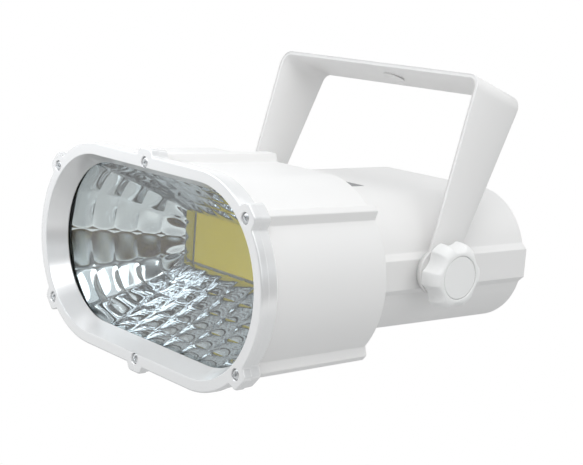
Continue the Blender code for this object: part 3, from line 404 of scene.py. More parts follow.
# Solder mask of the emitter's board and the terminal block's white moulding
SOLDER_MASK = Finish("white_solder_mask", "#DCDCD8", 0.45, grain_mm=0.7, bump_mm=0.005, shade=0.03)
# Soft gap pad between board and heat sink
GAP_PAD = Finish("grey_gap_pad", "#74787E", 0.8, grain_mm=0.6, bump_mm=0.02, shade=0.06)
# Dark grey inlay in the body's top: painted shade, standing for the shade just behind the head's rear edge
PAINTED_SHADE_INLAY = Finish("painted_shade_inlay", "#55565A", 0.3, grain_mm=1.0, bump_mm=0.004, shade=0.04)
# Toughened float glass: clear, faintly green through its edge
FLOAT_GLASS = GlassFinish(
    "toughened_float_glass", "#FBFFFD", 0.0, grain_mm=30.0, bump_mm=0.0005, shade=0.004, rough_spread=0.005
)


class Finishes:
    """Makes each finish's material once and gives it to objects."""

    def __init__(self) -> None:
        """Start with no materials made."""
        self._made: dict[str, bpy.types.Material] = {}

    def material(self, finish: Finish) -> bpy.types.Material:
        """Return the finish's material, made on first use."""
        if finish.name not in self._made:
            self._made[finish.name] = finish.make()
        return self._made[finish.name]

    def dress(self, obj: bpy.types.Object, finish: Finish) -> None:
        """Give an object this one finish all over."""
        obj.data.materials.clear()
        obj.data.materials.append(self.material(finish))


def rounded(
    corners: Sequence[Corner], steps: int = 5, support: float = 0.12, closed: bool = True
) -> Points:
    """Round the corners of a line of points.

    A corner is (a, b, radius, weights...). It becomes an arc of that radius that touches both of its sides,
    or stays sharp where the radius is 0. A support point stands just outside each end of the arc, so that
    flat sides shade flat. The weights are copied to all of a corner's points.

    Args:
        corners: The corners in order.
        steps: Spans in each arc.
        support: Distance from the arc's ends to its support points.
        closed: Whether the last corner joins the first.

    Returns:
        An array with one row per point: a, b and the weights.
    """
    rows: list[Points] = []
    count = len(corners)
    for index, corner in enumerate(corners):
        here = np.array(corner[:2])
        weights = np.array(corner[3:])
        radius = corner[2]
        if radius <= 0 or (not closed and index in (0, count - 1)):
            rows.append(np.concatenate([here, weights])[None])
            continue
        before = np.array(corners[index - 1][:2]) - here
        after = np.array(corners[(index + 1) % count][:2]) - here
        long_before = np.linalg.norm(before)
        long_after = np.linalg.norm(after)
        before = before / long_before
        after = after / long_after
        half = math.acos(float(np.clip(before @ after, -1, 1))) / 2
        inset = min(radius / math.tan(half), 0.48 * min(long_before, long_after))
        radius = inset * math.tan(half)
        middle = (before + after) / np.linalg.norm(before + after)
        centre = here + middle * radius / math.sin(half)
        start = here + before * inset
        end = here + after * inset
        share = np.linspace(0, 1, steps + 1)[:, None]
        turn = math.pi - 2 * half
        arc = np.sin((1 - share) * turn) * (start - centre) + np.sin(share * turn) * (end - centre)
        arc = arc / math.sin(turn)
        lead = min(support, 0.2 * (long_before - inset))
        trail = min(support, 0.2 * (long_after - inset))
        points = np.concatenate([[start + before * lead], centre + arc, [end + after * trail]])
        rows.append(np.hstack([points, np.tile(weights, (len(points), 1))]))
    return np.concatenate(rows)


def surface(
    name: str,
    grid: Points,
    wrap_rows: bool = True,
    wrap_columns: bool = True,
    sharp: float = 38.0,
    lift: Matrix | None = None,
) -> bpy.types.Object:
    """Make a closed mesh from a grid of places.

    Neighbouring places are joined by quads. Where the rows don't wrap, the first and the last row are
    closed with a fan to their middle.

    Args:
        name: Name of the object.
        grid: Places in millimetres, rows by columns by three.
        wrap_rows: Whether the last row joins the first.
        wrap_columns: Whether the last column joins the first.
        sharp: Edges that turn by more than this angle shade sharp.
        lift: Turns and moves the finished mesh, in metres.

    Returns:
        The object, at the origin, with its place in its mesh.
    """
    rows, columns = grid.shape[:2]
    index = np.arange(rows * columns).reshape(rows, columns)
    first = index if wrap_rows else index[:-1]
    second = np.roll(index, -1, axis=0) if wrap_rows else index[1:]
    if not wrap_columns:
        first_after, second_after = first[:, 1:], second[:, 1:]
        first, second = first[:, :-1], second[:, :-1]
    else:
        first_after, second_after = np.roll(first, -1, axis=1), np.roll(second, -1, axis=1)
    quads = np.stack([first, first_after, second_after, second], axis=-1).reshape(-1, 4)
    places = grid.reshape(-1, 3)
    faces = quads.tolist()
    if not wrap_rows:
        for row, base in ((0, rows * columns), (rows - 1, rows * columns + 1)):
            places = np.vstack([places, grid[row].mean(axis=0)])
            ring = index[row]
            faces += np.stack([np.full(columns, base), ring, np.roll(ring, -1)], axis=-1).tolist()
    mesh = bpy.data.meshes.new(name)
    mesh.from_pydata((places * MM).tolist(), [], faces)
    if lift is not None:
        mesh.transform(lift)
    bm = bmesh.new()
    bm.from_mesh(mesh)
    bmesh.ops.remove_doubles(bm, verts=bm.verts, dist=0.002 * MM)
    bmesh.ops.dissolve_degenerate(bm, edges=bm.edges, dist=0.001 * MM)
    bmesh.ops.recalc_face_normals(bm, faces=bm.faces)
    bm.to_mesh(mesh)
    bm.free()
    mesh.shade_smooth()
    mesh.set_sharp_from_angle(angle=math.radians(sharp))
    return put_in_scene(name, mesh)


def cut(target: bpy.types.Object, cutter: bpy.types.Object, sharp: float = 38.0) -> None:
    """Cut one closed mesh from another and keep the result as the target's own mesh.

    Args:
        target: Object that is cut.
        cutter: Object that is cut out of it, and then removed.
        sharp: Edges that turn by more than this angle shade sharp.
    """
    modifier = target.modifiers.new("Cut", "BOOLEAN")
    modifier.object = cutter
    modifier.operation = "DIFFERENCE"
    modifier.solver = "EXACT"
    bpy.context.view_layer.update()
    evaluated = target.evaluated_get(bpy.context.evaluated_depsgraph_get())
    mesh = bpy.data.meshes.new_from_object(evaluated)
    target.modifiers.clear()
    old = target.data
    target.data = mesh
    mesh.name = old.name
    bpy.data.meshes.remove(old)
    bpy.data.objects.remove(cutter, do_unlink=True)
    mesh.shade_smooth()
    mesh.set_sharp_from_angle(angle=math.radians(sharp))


@dataclass(frozen=True)
class Outline:
    """Places round a closed outline.

    Each has a middle on the outline's centre line, an outward direction in x and z, and how far the outline
    reaches from the middle. The plain reach leaves out lugs and ridges.
    """

    middle: Points
    outward: Points
    reach: Points
    plain: float

    @property
    def excess(self) -> Points:
        """How far lugs or ridges stand out past the plain outline."""
        return np.maximum(self.reach - self.plain, 0)

    def ring(self, radius: float | Points, y: float | Points) -> Points:
        """Return the places at a distance from the middles: middle + outward times radius, at y."""
        reach = np.broadcast_to(radius, self.middle.shape)
        depth = np.broadcast_to(y, self.middle.shape)
        x = self.middle + self.outward[:, 0] * reach
        return np.stack([x, depth, self.outward[:, 1] * reach], axis=-1)

    def stacked(self, rows: Sequence[tuple[float, float]]) -> Points:
        """Return a ring of places for each (radius, y)."""
        return np.stack([self.ring(radius, y) for radius, y in rows])

    def swept(self, profile: Points) -> Points:
        """Carry a profile round the outline.

        Each row of the profile is (radius, y, out). The radius grows by out times the outline's excess.

        Args:
            profile: Rows of radius, y and out.

        Returns:
            Places, one row for each row of the profile.
        """
        return np.stack([self.ring(row[0] + row[2] * self.excess, row[1]) for row in profile])


@dataclass(frozen=True)
class Bump:
    """A lug or a ridge that stands out of an outline: a tapered block with a rounded tip and foot."""

    tip: float
    tip_half: float
    base_half: float
    tip_round: float
    base_round: float

    def line(self, plain: float, curved: bool) -> Points:
        """Return the bump's edge as (outward, sideways) points, from one side of its foot to the other.

        Args:
            plain: Reach of the outline that it stands on.
            curved: Whether the outline is an arc there, and not a straight line.

        Returns:
            The points, with the sideways distance rising.
        """
        lead = self.base_half + 2 * self.base_round

        def foot(sideways: float) -> float:
            """Reach of the plain outline at a sideways distance."""
            return math.sqrt(plain**2 - sideways**2) if curved else plain

        half = [
            (foot(lead), lead, 0.0),
            (foot(self.base_half), self.base_half, self.base_round),
            (self.tip, self.tip_half, self.tip_round),
        ]
        corners = [(a, -b, r) for a, b, r in half] + list(reversed(half))
        return rounded(corners, steps=6, closed=False)


def obround_outline(
    half: float, plain: float, side: Bump | None = None, top: Bump | None = None, side_angle: float = 0.0
) -> Outline:
    """Return the places round an obround, with bumps at four corners and at its top and bottom.

    One quarter is worked out, from the top's middle to the right end, and mirrored three times.

    Args:
        half: Distance of each round end's centre from the middle.
        plain: Radius of the round ends.
        side: Bump on the round ends, or None.
        top: Bump at the top's and bottom's middle, or None.
        side_angle: Angle of the side bumps above and below the middle.

    Returns:
        The outline, counter-clockwise from the bottom's middle.
    """
    if top is None:
        top_line = np.array([[plain, 0.0]])
    else:
        top_line = top.line(plain, curved=False)
        top_line = top_line[top_line[:, 1] >= -1e-9]
    run = np.linspace(top_line[-1, 1], half, 16)[1:]
    across = np.concatenate([top_line[:, 1], run])
    top_reach = np.concatenate([top_line[:, 0], np.full(len(run), plain)])
    if side is None:
        angles = np.linspace(90, 0, 46)[1:]
        end_reach = np.full(len(angles), plain)
    else:
        line = side.line(plain, curved=True)[::-1]
        spread = np.degrees(np.arctan2(line[:, 1], line[:, 0]))
        above = np.linspace(90, side_angle + spread[0], 20)[1:-1]
        below = np.linspace(side_angle + spread[-1], 0, 20)[1:]
        angles = np.concatenate([above, side_angle + spread, below])
        bumped = np.hypot(line[:, 0], line[:, 1])
        end_reach = np.concatenate([np.full(len(above), plain), bumped, np.full(len(below), plain)])
    radians = np.radians(angles)
    middle = np.concatenate([across, np.full(len(angles), half)])
    outward = np.concatenate(
        [np.tile([0.0, 1.0], (len(across), 1)), np.stack([np.cos(radians), np.sin(radians)], axis=-1)]
    )
    return mirrored_quarter(middle, outward, np.concatenate([top_reach, end_reach]), plain)


def mirrored_quarter(middle: Points, outward: Points, reach: Points, plain: float) -> Outline:
    """Mirror a quarter of an outline three times, without the places that two quarters share.

    Args:
        middle: The quarter's middles, from the top's middle to the right end.
        outward: Their outward directions.
        reach: Their reaches.
        plain: The plain outline's reach.

    Returns:
        The outline, counter-clockwise from the bottom's middle.
    """
    parts = []
    for flip, order in (((1, -1), 1), ((1, 1), -1), ((-1, 1), 1), ((-1, -1), -1)):
        turned = (middle * flip[0], outward * flip, reach)
        parts.append([values[::order][:-1] for values in turned])
    return Outline(*(np.concatenate([part[k] for part in parts]) for k in range(3)), plain)


def circle_outline(plain: float, count: int, reach: Callable[[Points], Points] | None = None) -> Outline:
    """Return the places round a circle, or round a shape whose reach is a function of the angle."""
    angle = np.linspace(0, 2 * math.pi, count, endpoint=False)
    outward = np.stack([np.cos(angle), np.sin(angle)], axis=-1)
    return Outline(np.zeros(count), outward, reach(angle) if reach else np.full(count, plain), plain)


def with_weights(points: Points) -> Points:
    """Return (radius, y) points as profile rows with no weight."""
    return np.hstack([points[:, :2], np.zeros((len(points), 1))])


@dataclass
class Place:
    """Where the lamp and its parts are in the frame, in metres."""

    front: Vector
    pivot: Vector
    lean: float

    @property
    def lamp(self) -> Matrix:
        """Moves the lamp's own frame to its place."""
        return Matrix.Translation(self.front)

    def side(self, sign: int) -> Matrix:
        """Turn a shape that is drawn along y so that it points outwards at one pivot, along +x or -x."""
        return Matrix.Translation(self.pivot) @ Matrix.Rotation(math.radians(-90 * sign), 4, "Z")


@dataclass
class Workshop:
    """What every class needs to hand over a finished piece."""

    finishes: Finishes
    place: Place

    def hand_over(
        self, obj: bpy.types.Object, finish: Finish, body: Body, slot: Slot, nodes: Sequence[str] = ()
    ) -> None:
        """Dress a piece, let it ride on its body and hide the solids that it stands for.

        Args:
            obj: The finished piece.
            finish: Its finish.
            body: Body that it moves with.
            slot: The record's material slot; not used.
            nodes: Solids that it stands for.
        """
        self.finishes.dress(obj, finish)
        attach(obj, body.value)
        if nodes:
            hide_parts(*nodes)
        LOG.info("%s: %d faces", obj.name, len(obj.data.polygons))


@dataclass
class ScrewHead:
    """Pan-head screw with a cross recess, drawn along y with its seat at y = 0 and its head towards -y."""

    head_r: float = 2.75
    height: float = 2.75
    rim_share: float = 0.62
    shank_r: float = 1.45
    recess_r: float = 1.7
    recess_half: float = 0.42
    recess_depth: float = 1.2
    dome_power: float = 3.2
    around: int = 72

    def mesh(self, name: str, length: float, lift: Matrix) -> bpy.types.Object:
        """Build one screw.

        The head's top is a surface over angle and radius. Its height is a dome, height * (s + (1 - s) *
        sqrt(1 - (r/R)^p)), less a cross whose depth falls off smoothly from its arms and at its tips.

        Args:
            name: Name of the object.
            length: Length of the shank.
            lift: Places the screw.

        Returns:
            The object.
        """
        angle = np.linspace(0, 2 * math.pi, self.around, endpoint=False)
        share = np.concatenate([np.linspace(0.02, 0.62, 20), np.linspace(0.66, 1.0, 8)])
        radius, turn = np.meshgrid(share * self.head_r, angle, indexing="ij")
        fall = np.clip(1 - (radius / self.head_r) ** self.dome_power, 0, 1)
        dome = self.rim_share + (1 - self.rim_share) * np.sqrt(fall)
        x = radius * np.cos(turn)
        z = radius * np.sin(turn)
        near = np.minimum(np.abs(x), np.abs(z))
        arm = np.clip((self.recess_half - near) / 0.14 + 0.5, 0, 1)
        reach = np.clip((self.recess_r - radius) / 0.5, 0, 1)
        depth = self.recess_depth * arm * np.sqrt(reach)
        top = np.stack([x, -(self.height * dome - depth), z], axis=-1)
        under = [(self.head_r, -0.12), (self.head_r - 0.12, 0.0), (self.shank_r, 0.0)]
        under += [(self.shank_r, length - 0.5), (self.shank_r - 0.5, length)]
        depths = [np.full(self.around, y) for _, y in under]
        rings = [
            np.stack([r * np.cos(angle), depth, r * np.sin(angle)], axis=-1)
            for (r, _), depth in zip(under, depths)
        ]
        grid = np.concatenate([top, np.stack(rings)])
        return surface(name, grid, wrap_rows=False, lift=lift, sharp=50)


@dataclass
class LampHead:
    """Bezel, glass, seal and housing of the wide lamp head."""

    half: float = 50.0
    bezel_r: float = 57.0
    flat_r: float = 50.6
    lip_r: float = 45.3
    lip_y: float = 12.2
    skirt: float = 10.5
    web: float = 5.2
    channel_r: float = 53.6
    lug_angle: float = 44.2
    ridge_angle: float = 45.0
    screw_side_r: float = 55.6
    screw_top_z: float = 53.4
    counterbore_r: float = 2.95
    counterbore: float = 3.2
    screw_length: float = 20.8
    screw_turn: float = 37.0
    housing_r: float = 53.2
    housing_draft: float = 0.9
    ridge_draft: float = 1.2
    housing_in_r: float = 50.0
    housing_end: float = 85.2
    back: float = 82.0
    window_x: float = 52.0
    window_z: float = 24.0
    pocket_r: float = 51.2
    ledge_y: float = 18.1
    glass_r: float = 49.6
    glass_y: float = 13.2
    glass_thickness: float = 3.0
    seal_in_r: float = 47.9
    side_lug: Bump = Bump(62.2, 5.2, 7.2, 2.6, 1.6)
    top_lug: Bump = Bump(61.0, 5.2, 7.2, 2.6, 1.6)
    side_ridge: Bump = Bump(58.0, 2.1, 4.5, 0.9, 0.8)
    top_ridge: Bump = Bump(58.1, 4.0, 5.6, 0.8, 0.8)

    def screw_spots(self) -> list[tuple[float, float]]:
        """Return the x and z of the six bezel screws, numbered as the solids are."""
        spots = []
        for sign, rise in ((1, 1), (1, -1), (-1, 1), (-1, -1)):
            turn = math.radians(rise * self.lug_angle)
            x = self.half + self.screw_side_r * math.cos(turn)
            spots.append((sign * x, self.screw_side_r * math.sin(turn)))
        return spots + [(0.0, self.screw_top_z), (0.0, -self.screw_top_z)]

    def build_bezel(self, shop: Workshop) -> None:
        """Bezel: the profile of its ring carried round the obround, with six lugs and counterbored holes."""
        outline = obround_outline(self.half, self.bezel_r, self.side_lug, self.top_lug, self.lug_angle)
        profile = rounded(
            [
                (self.flat_r, 0.0, 0.5, 0),
                (self.bezel_r, 0.0, 0.9, 1),
                (self.bezel_r, 4.4, 0.25, 1),
                (self.bezel_r - 0.5, 4.8, 0.25, 1),
                (self.bezel_r - 0.85, self.skirt, 0.7, 1),
                (self.channel_r, self.skirt, 0.3, 0),
                (self.channel_r, self.web, 0.3, 0),
                (self.pocket_r + 0.2, self.web, 0.3, 0),
                (self.lip_r + 2.6, self.lip_y, 0.3, 0),
                (self.lip_r, self.lip_y, 0.6, 0),
            ],
            steps=4,
        )
        grid = outline.swept(profile)
        bezel = surface("bezel", grid, lift=shop.place.lamp)
        for number, (x, z) in enumerate(self.screw_spots()):
            cut(bezel, self.counterbore_cutter(f"cutter_{number}", x, z, shop.place.lamp))
        shop.hand_over(bezel, BEZEL_ENAMEL, Body.HEAD, Slot.WHITE_COAT, ["bezel_frame"])

    def counterbore_cutter(self, name: str, x: float, z: float, lamp: Matrix) -> bpy.types.Object:
        """Turned cutter for one screw: a broken edge, the counterbore and the through hole."""
        bore = 1.8
        profile = [
            (self.counterbore_r + 1.35, -1.0),
            (self.counterbore_r, 0.35),
            (self.counterbore_r, self.counterbore),
            (bore, self.counterbore),
            (bore, self.skirt + 1.0),
        ]
        ring = circle_outline(1.0, 48)
        grid = ring.stacked(profile) + np.array([x, 0, z])
        return surface(name, grid, wrap_rows=False, lift=lamp)

    def build_screws(self, shop: Workshop) -> None:
        """The six bezel screws, each turned a little differently, as a hand leaves them."""
        seat = self.counterbore - 0.2
        for number, (x, z) in enumerate(self.screw_spots(), start=1):
            lift = shop.place.lamp @ Matrix.Translation(Vector((x, seat, z)) * MM)
            lift = lift @ Matrix.Rotation(math.radians(self.screw_turn * number), 4, "Y")
            screw = ScrewHead().mesh(f"bezel_screw_{number}_detail", self.screw_length, lift)
            shop.hand_over(screw, ZINC_STEEL, Body.HEAD, Slot.STEEL, [f"bezel_screw_{number}"])

    def build_glass(self, shop: Workshop) -> None:
        """Front glass with a ground edge, and the rubber channel round it."""
        outline = obround_outline(self.half, self.glass_r)
        end = self.glass_y + self.glass_thickness
        edge = 0.4
        rows = [
            (self.glass_r - edge, self.glass_y),
            (self.glass_r, self.glass_y + edge),
            (self.glass_r, end - edge),
            (self.glass_r - edge, end),
        ]
        grid = outline.stacked(rows)
        glass = surface("glass_pane", grid, wrap_rows=False, lift=shop.place.lamp, sharp=20)
        shop.hand_over(glass, FLOAT_GLASS, Body.HEAD, Slot.GLASS, ["front_glass"])

        front = self.lip_y + 0.2
        rear = end + 0.8
        inner = self.seal_in_r
        floor = self.glass_r + 0.2
        profile = rounded(
            [
                (inner, front, 0.2),
                (self.pocket_r - 0.2, front, 0.2),
                (self.pocket_r - 0.2, rear, 0.2),
                (inner, rear, 0.2),
                (inner, rear - 0.6, 0.2),
                (floor, rear - 0.6, 0.1),
                (floor, front + 0.6, 0.1),
                (inner, front + 0.6, 0.2),
            ],
            steps=2,
            support=0.05,
        )
        seal = surface("glass_channel_seal", outline.swept(with_weights(profile)), lift=shop.place.lamp)
        shop.hand_over(seal, GREY_SILICONE, Body.HEAD, Slot.RUBBER, ["glass_gasket"])

    def build_housing(self, shop: Workshop) -> None:
        """Head housing: stepped rim, six ridges that start behind the lugs, and a windowed back wall."""
        ridges = (self.side_ridge, self.top_ridge, self.ridge_angle)
        outline = obround_outline(self.half, self.housing_r, *ridges)
        rear_r = self.housing_r - self.housing_draft
        excess = self.side_ridge.tip - self.housing_r
        kept = 1 - (self.ridge_draft - self.housing_draft) / excess
        ridge_y = self.skirt + 0.2
        rim_y = self.web + 0.2
        rim_r = self.channel_r - 0.2
        inner_edge = self.housing_in_r - 2.0
        outer = rounded(
            [
                (inner_edge, self.back, 0.0, 0),
                (self.housing_in_r, self.back - 2.0, 0.0, 0),
                (self.housing_in_r, self.ledge_y, 0.2, 0),
                (self.pocket_r, self.ledge_y, 0.2, 0),
                (self.pocket_r, rim_y + 1.6, 0.3, 0),
                (self.pocket_r + 0.8, rim_y, 0.3, 0),
                (rim_r, rim_y, 0.3, 0),
                (rim_r, ridge_y - 0.05, 0.0, 0),
                (rim_r, ridge_y, 0.0, 1),
                (rim_r, rim_y + 6.5, 0.1, 1),
                (self.housing_r, rim_y + 7.3, 0.1, 1),
                (rear_r, self.housing_end, 0.9, kept),
                (rear_r - 6.0, self.housing_end, 0.0, 0),
            ],
            steps=4,
            closed=False,
        )
        housing = surface("housing_shell", outline.swept(outer), wrap_rows=False, lift=shop.place.lamp)
        low = Vector((-self.window_x, self.back - 2.0, -self.window_z))
        high = Vector((self.window_x, self.back + 6.0, self.window_z))
        cut(housing, box("window_cutter", low, high, shop.place.lamp))
        shop.hand_over(housing, POWDER_COAT, Body.HEAD, Slot.WHITE_COAT, ["head_housing"])


@dataclass
class Reflector:
    """Bright reflector: a straight throat, a flared wall of pillowed facets and a turned-out rim.

    The wall is a surface over (way round, depth). A foot on the throat's rectangle and a place on the
    obround mouth are joined by a slightly bowed line. Each facet then swells inwards as a pillow.
    """

    half: float = 50.0
    mouth_r: float = 48.9
    sheet: float = 0.7
    mouth_y: float = 17.2
    depth: float = 50.0
    throat: float = 6.2
    throat_x: float = 52.0
    throat_z: float = 16.2
    bow: float = 0.22
    flange_r: float = 50.75
    seam_z: float = 9.0
    corner_shift: float = 5.0
    wall_columns: int = 6
    rows: int = 5
    pillow: float = 1.25
    seam: float = 0.22
    seam_half: float = 0.55
    facet_steps: int = 16

    def edge_lines(self) -> tuple[Points, Points, Points, Points]:
        """Return the facets' seams round the mouth, counter-clockwise from the right end's bottom.

        Returns:
            Middle x, outward angle, foot x and foot z of each seam, the first one repeated at the end.
        """
        angles = np.arange(-90, 91, 30.0)
        size = np.abs(angles)
        rises = [0, self.seam_z, self.throat_z, self.throat_z]
        foot_z = np.interp(size, [0, 30, 60, 90], rises) * np.sign(angles)
        foot_x = np.interp(size, [60, 90], [self.throat_x, self.throat_x - self.corner_shift])
        share = np.linspace(1, -1, self.wall_columns + 1)[1:-1]
        middle = np.concatenate([np.full(7, self.half), share * self.half])
        angle = np.concatenate([angles, np.full(len(share), 90.0)])
        x = np.concatenate([foot_x, share * (self.throat_x - self.corner_shift)])
        z = np.concatenate([foot_z, np.full(len(share), self.throat_z)])
        return (
            np.concatenate([middle, -middle, middle[:1]]),
            np.concatenate([angle, angle + 180, [270.0]]),
            np.concatenate([x, -x, x[:1]]),
            np.concatenate([z, -z, z[:1]]),
        )

    def wall(self, offset: float, steps: int, pillow: float, row_steps: int) -> tuple[Points, Outline]:
        """Work out the wall's places.

        With t the depth from 0 at the throat to 1 at the mouth, a place is foot + (mouth - foot) * t * (1 +
        bow * (1 - t)), moved by offset along the line, and inwards by pillow * (1 - a^2) * (1 - b^2), where
        a and b run from -1 to 1 across a facet. A fine bead of height seam * exp(-(s / seam_half)^2) stands
        on each seam that runs from throat to mouth, with s the distance from it.

        Args:
            offset: Distance outwards, for the sheet's outer face.
            steps: Places across each facet, round the mouth.
            pillow: Height of each facet's swelling.
            row_steps: Places along each facet, in depth.

        Returns:
            The grid of places from throat to mouth, and the mouth's outline.
        """
        middle, angle, foot_x, foot_z = self.edge_lines()
        seams = len(middle) - 1
        inside = (1 - np.cos(math.pi * np.arange(steps) / steps)) / 2
        fine = (np.arange(seams)[:, None] + inside[None]).ravel()
        whole = np.arange(seams + 1)
        way_middle = np.interp(fine, whole, middle)
        way_angle = np.radians(np.interp(fine, whole, angle))
        foot = np.stack([np.interp(fine, whole, foot_x), np.interp(fine, whole, foot_z)], axis=-1)
        outward = np.stack([np.cos(way_angle), np.sin(way_angle)], axis=-1)
        mouth = outward * self.mouth_r
        mouth[:, 0] += way_middle
        down = (1 - np.cos(math.pi * np.arange(row_steps) / row_steps)) / 2
        depth = np.append((np.arange(self.rows)[:, None] + down[None]).ravel(), self.rows) / self.rows
        flare = depth * (1 + self.bow * (1 - depth))
        run = mouth - foot
        along = run / np.linalg.norm(run, axis=-1, keepdims=True)
        a = 2 * (fine % 1) - 1
        b = 2 * ((depth * self.rows) % 1) - 1
        swell = pillow * (1 - a[None, :] ** 2) * (1 - b[:, None] ** 2)
        flat = foot[None] + run[None] * flare[:, None, None]
        if pillow > 0:
            width = np.linalg.norm(np.roll(flat, -1, axis=1) - flat, axis=-1)
            width = width.reshape(len(depth), seams, steps)
            total = np.repeat(width.sum(axis=-1), steps, axis=1)
            near = (1 - np.abs(a[None, :])) * total / 2
            swell = swell + self.seam * np.exp(-((near / self.seam_half) ** 2))
        flat = flat + along[None] * (offset - swell)[..., None]
        y = self.mouth_y + self.depth * (1 - depth)
        grid = np.stack([flat[..., 0], np.broadcast_to(y[:, None], flat.shape[:2]), flat[..., 1]], axis=-1)
        return grid, Outline(way_middle, outward, np.full(len(fine), self.mouth_r), self.mouth_r)

    def build(self, shop: Workshop) -> None:
        """Build the reflector as one closed sheet: inner face, turned-out rim, outer face, throat's end."""
        steps = self.facet_steps
        inner, mouth = self.wall(0.0, steps, self.pillow, steps)
        outer, _ = self.wall(self.sheet, steps, 0.0, 2)
        throat_end = self.mouth_y + self.depth + self.throat
        inner_end = inner[0].copy()
        inner_end[:, 1] = throat_end
        outer_end = outer[0].copy()
        outer_end[:, 1] = throat_end
        rim = [
            mouth.ring(self.mouth_r + 0.25, self.mouth_y - 0.1),
            mouth.ring(self.flange_r, self.mouth_y),
            mouth.ring(self.flange_r, self.mouth_y + self.sheet),
            mouth.ring(self.mouth_r + self.sheet, self.mouth_y + self.sheet),
        ]
        grid = np.concatenate([inner_end[None], inner, np.stack(rim), outer[-2::-1], outer_end[None]])
        piece = surface("reflector_facets", grid, lift=shop.place.lamp, sharp=60)
        shop.hand_over(piece, BRIGHT_SHEET, Body.HEAD, Slot.BRIGHT_SHEET, ["reflector"])


@dataclass
class LightEngine:
    """Emitter and its pale dam behind the reflector's throat; the board and heat sink keep their solids."""

    frame_y: float = 73.6
    emitter_x: float = 50.8
    emitter_z: float = 15.0
    dam_width: float = 2.6
    dam_height: float = 0.8

    def build(self, shop: Workshop) -> None:
        """Dam with rounded edges and the phosphor that fills it with a slightly hollow face."""
        span = np.linspace(-1, 1, 61)
        x, z = np.meshgrid(span * self.emitter_x, span * self.emitter_z)
        edge = np.minimum(self.emitter_x - np.abs(x), self.emitter_z - np.abs(z))
        y = self.frame_y + 0.25 * (1 - np.exp(-edge / 0.8))
        front = np.stack([x, y, z], axis=-1)
        back_border = self.border(front)
        back_border[:, 1] = self.frame_y + self.dam_height
        self.gel(shop, front, back_border)
        self.dam(shop)

    @staticmethod
    def border(grid: Points) -> Points:
        """Return the values round a grid's edge."""
        return np.concatenate([grid[0, :-1], grid[:-1, -1], grid[-1, :0:-1], grid[:0:-1, 0]])

    def gel(self, shop: Workshop, front: Points, back_border: Points) -> None:
        """Phosphor gel: a slightly hollow front face over a flat back.

        Args:
            shop: Hands the piece over.
            front: Grid of places on the front face.
            back_border: Places round the back face's edge.
        """
        rows, columns = front.shape[:2]
        index = np.arange(rows * columns).reshape(rows, columns)
        quads = np.stack([index[:-1, :-1], index[:-1, 1:], index[1:, 1:], index[1:, :-1]], axis=-1)
        border = self.border(index)
        back = rows * columns + np.arange(len(border))
        sides = np.stack([border, np.roll(border, -1), np.roll(back, -1), back], axis=-1)
        mesh = bpy.data.meshes.new("phosphor_gel")
        places = np.vstack([front.reshape(-1, 3), back_border]) * MM
        faces = quads.reshape(-1, 4).tolist() + sides.tolist() + [back[::-1].tolist()]
        mesh.from_pydata(places.tolist(), [], faces)
        mesh.transform(shop.place.lamp)
        bm = bmesh.new()
        bm.from_mesh(mesh)
        bmesh.ops.recalc_face_normals(bm, faces=bm.faces)
        bm.to_mesh(mesh)
        bm.free()
        mesh.shade_smooth()
        mesh.set_sharp_from_angle(angle=math.radians(40))
        gel = put_in_scene("phosphor_gel", mesh)
        shop.hand_over(gel, PHOSPHOR, Body.HEAD, Slot.PHOSPHOR, ["led_phosphor"])

    def dam(self, shop: Workshop) -> None:
        """Resin dam: a rounded bead carried round the emitter's rectangle."""
        inner_x = self.emitter_x + 0.2
        inner_z = self.emitter_z + 0.2
        profile = rounded(
            [
                (0.0, 0.0, 0.35),
                (self.dam_width, 0.0, 0.35),
                (self.dam_width, self.dam_height, 0.0),
                (0.0, self.dam_height, 0.0),
            ],
            steps=4,
            support=0.04,
        )
        signs = np.array([[1, -1], [1, 1], [-1, 1], [-1, -1]], dtype=float)
        grow = profile[:, 0][:, None, None]
        corner = np.array([inner_x, inner_z]) * signs
        flat = corner[None] + grow * signs[None]
        y = np.broadcast_to(self.frame_y + profile[:, 1][:, None], flat.shape[:2])
        grid = np.stack([flat[..., 0], y, flat[..., 1]], axis=-1)
        dam = surface("resin_dam", grid, lift=shop.place.lamp)
        shop.hand_over(dam, RESIN_DAM, Body.HEAD, Slot.PALE_FRAME, ["led_frame"])


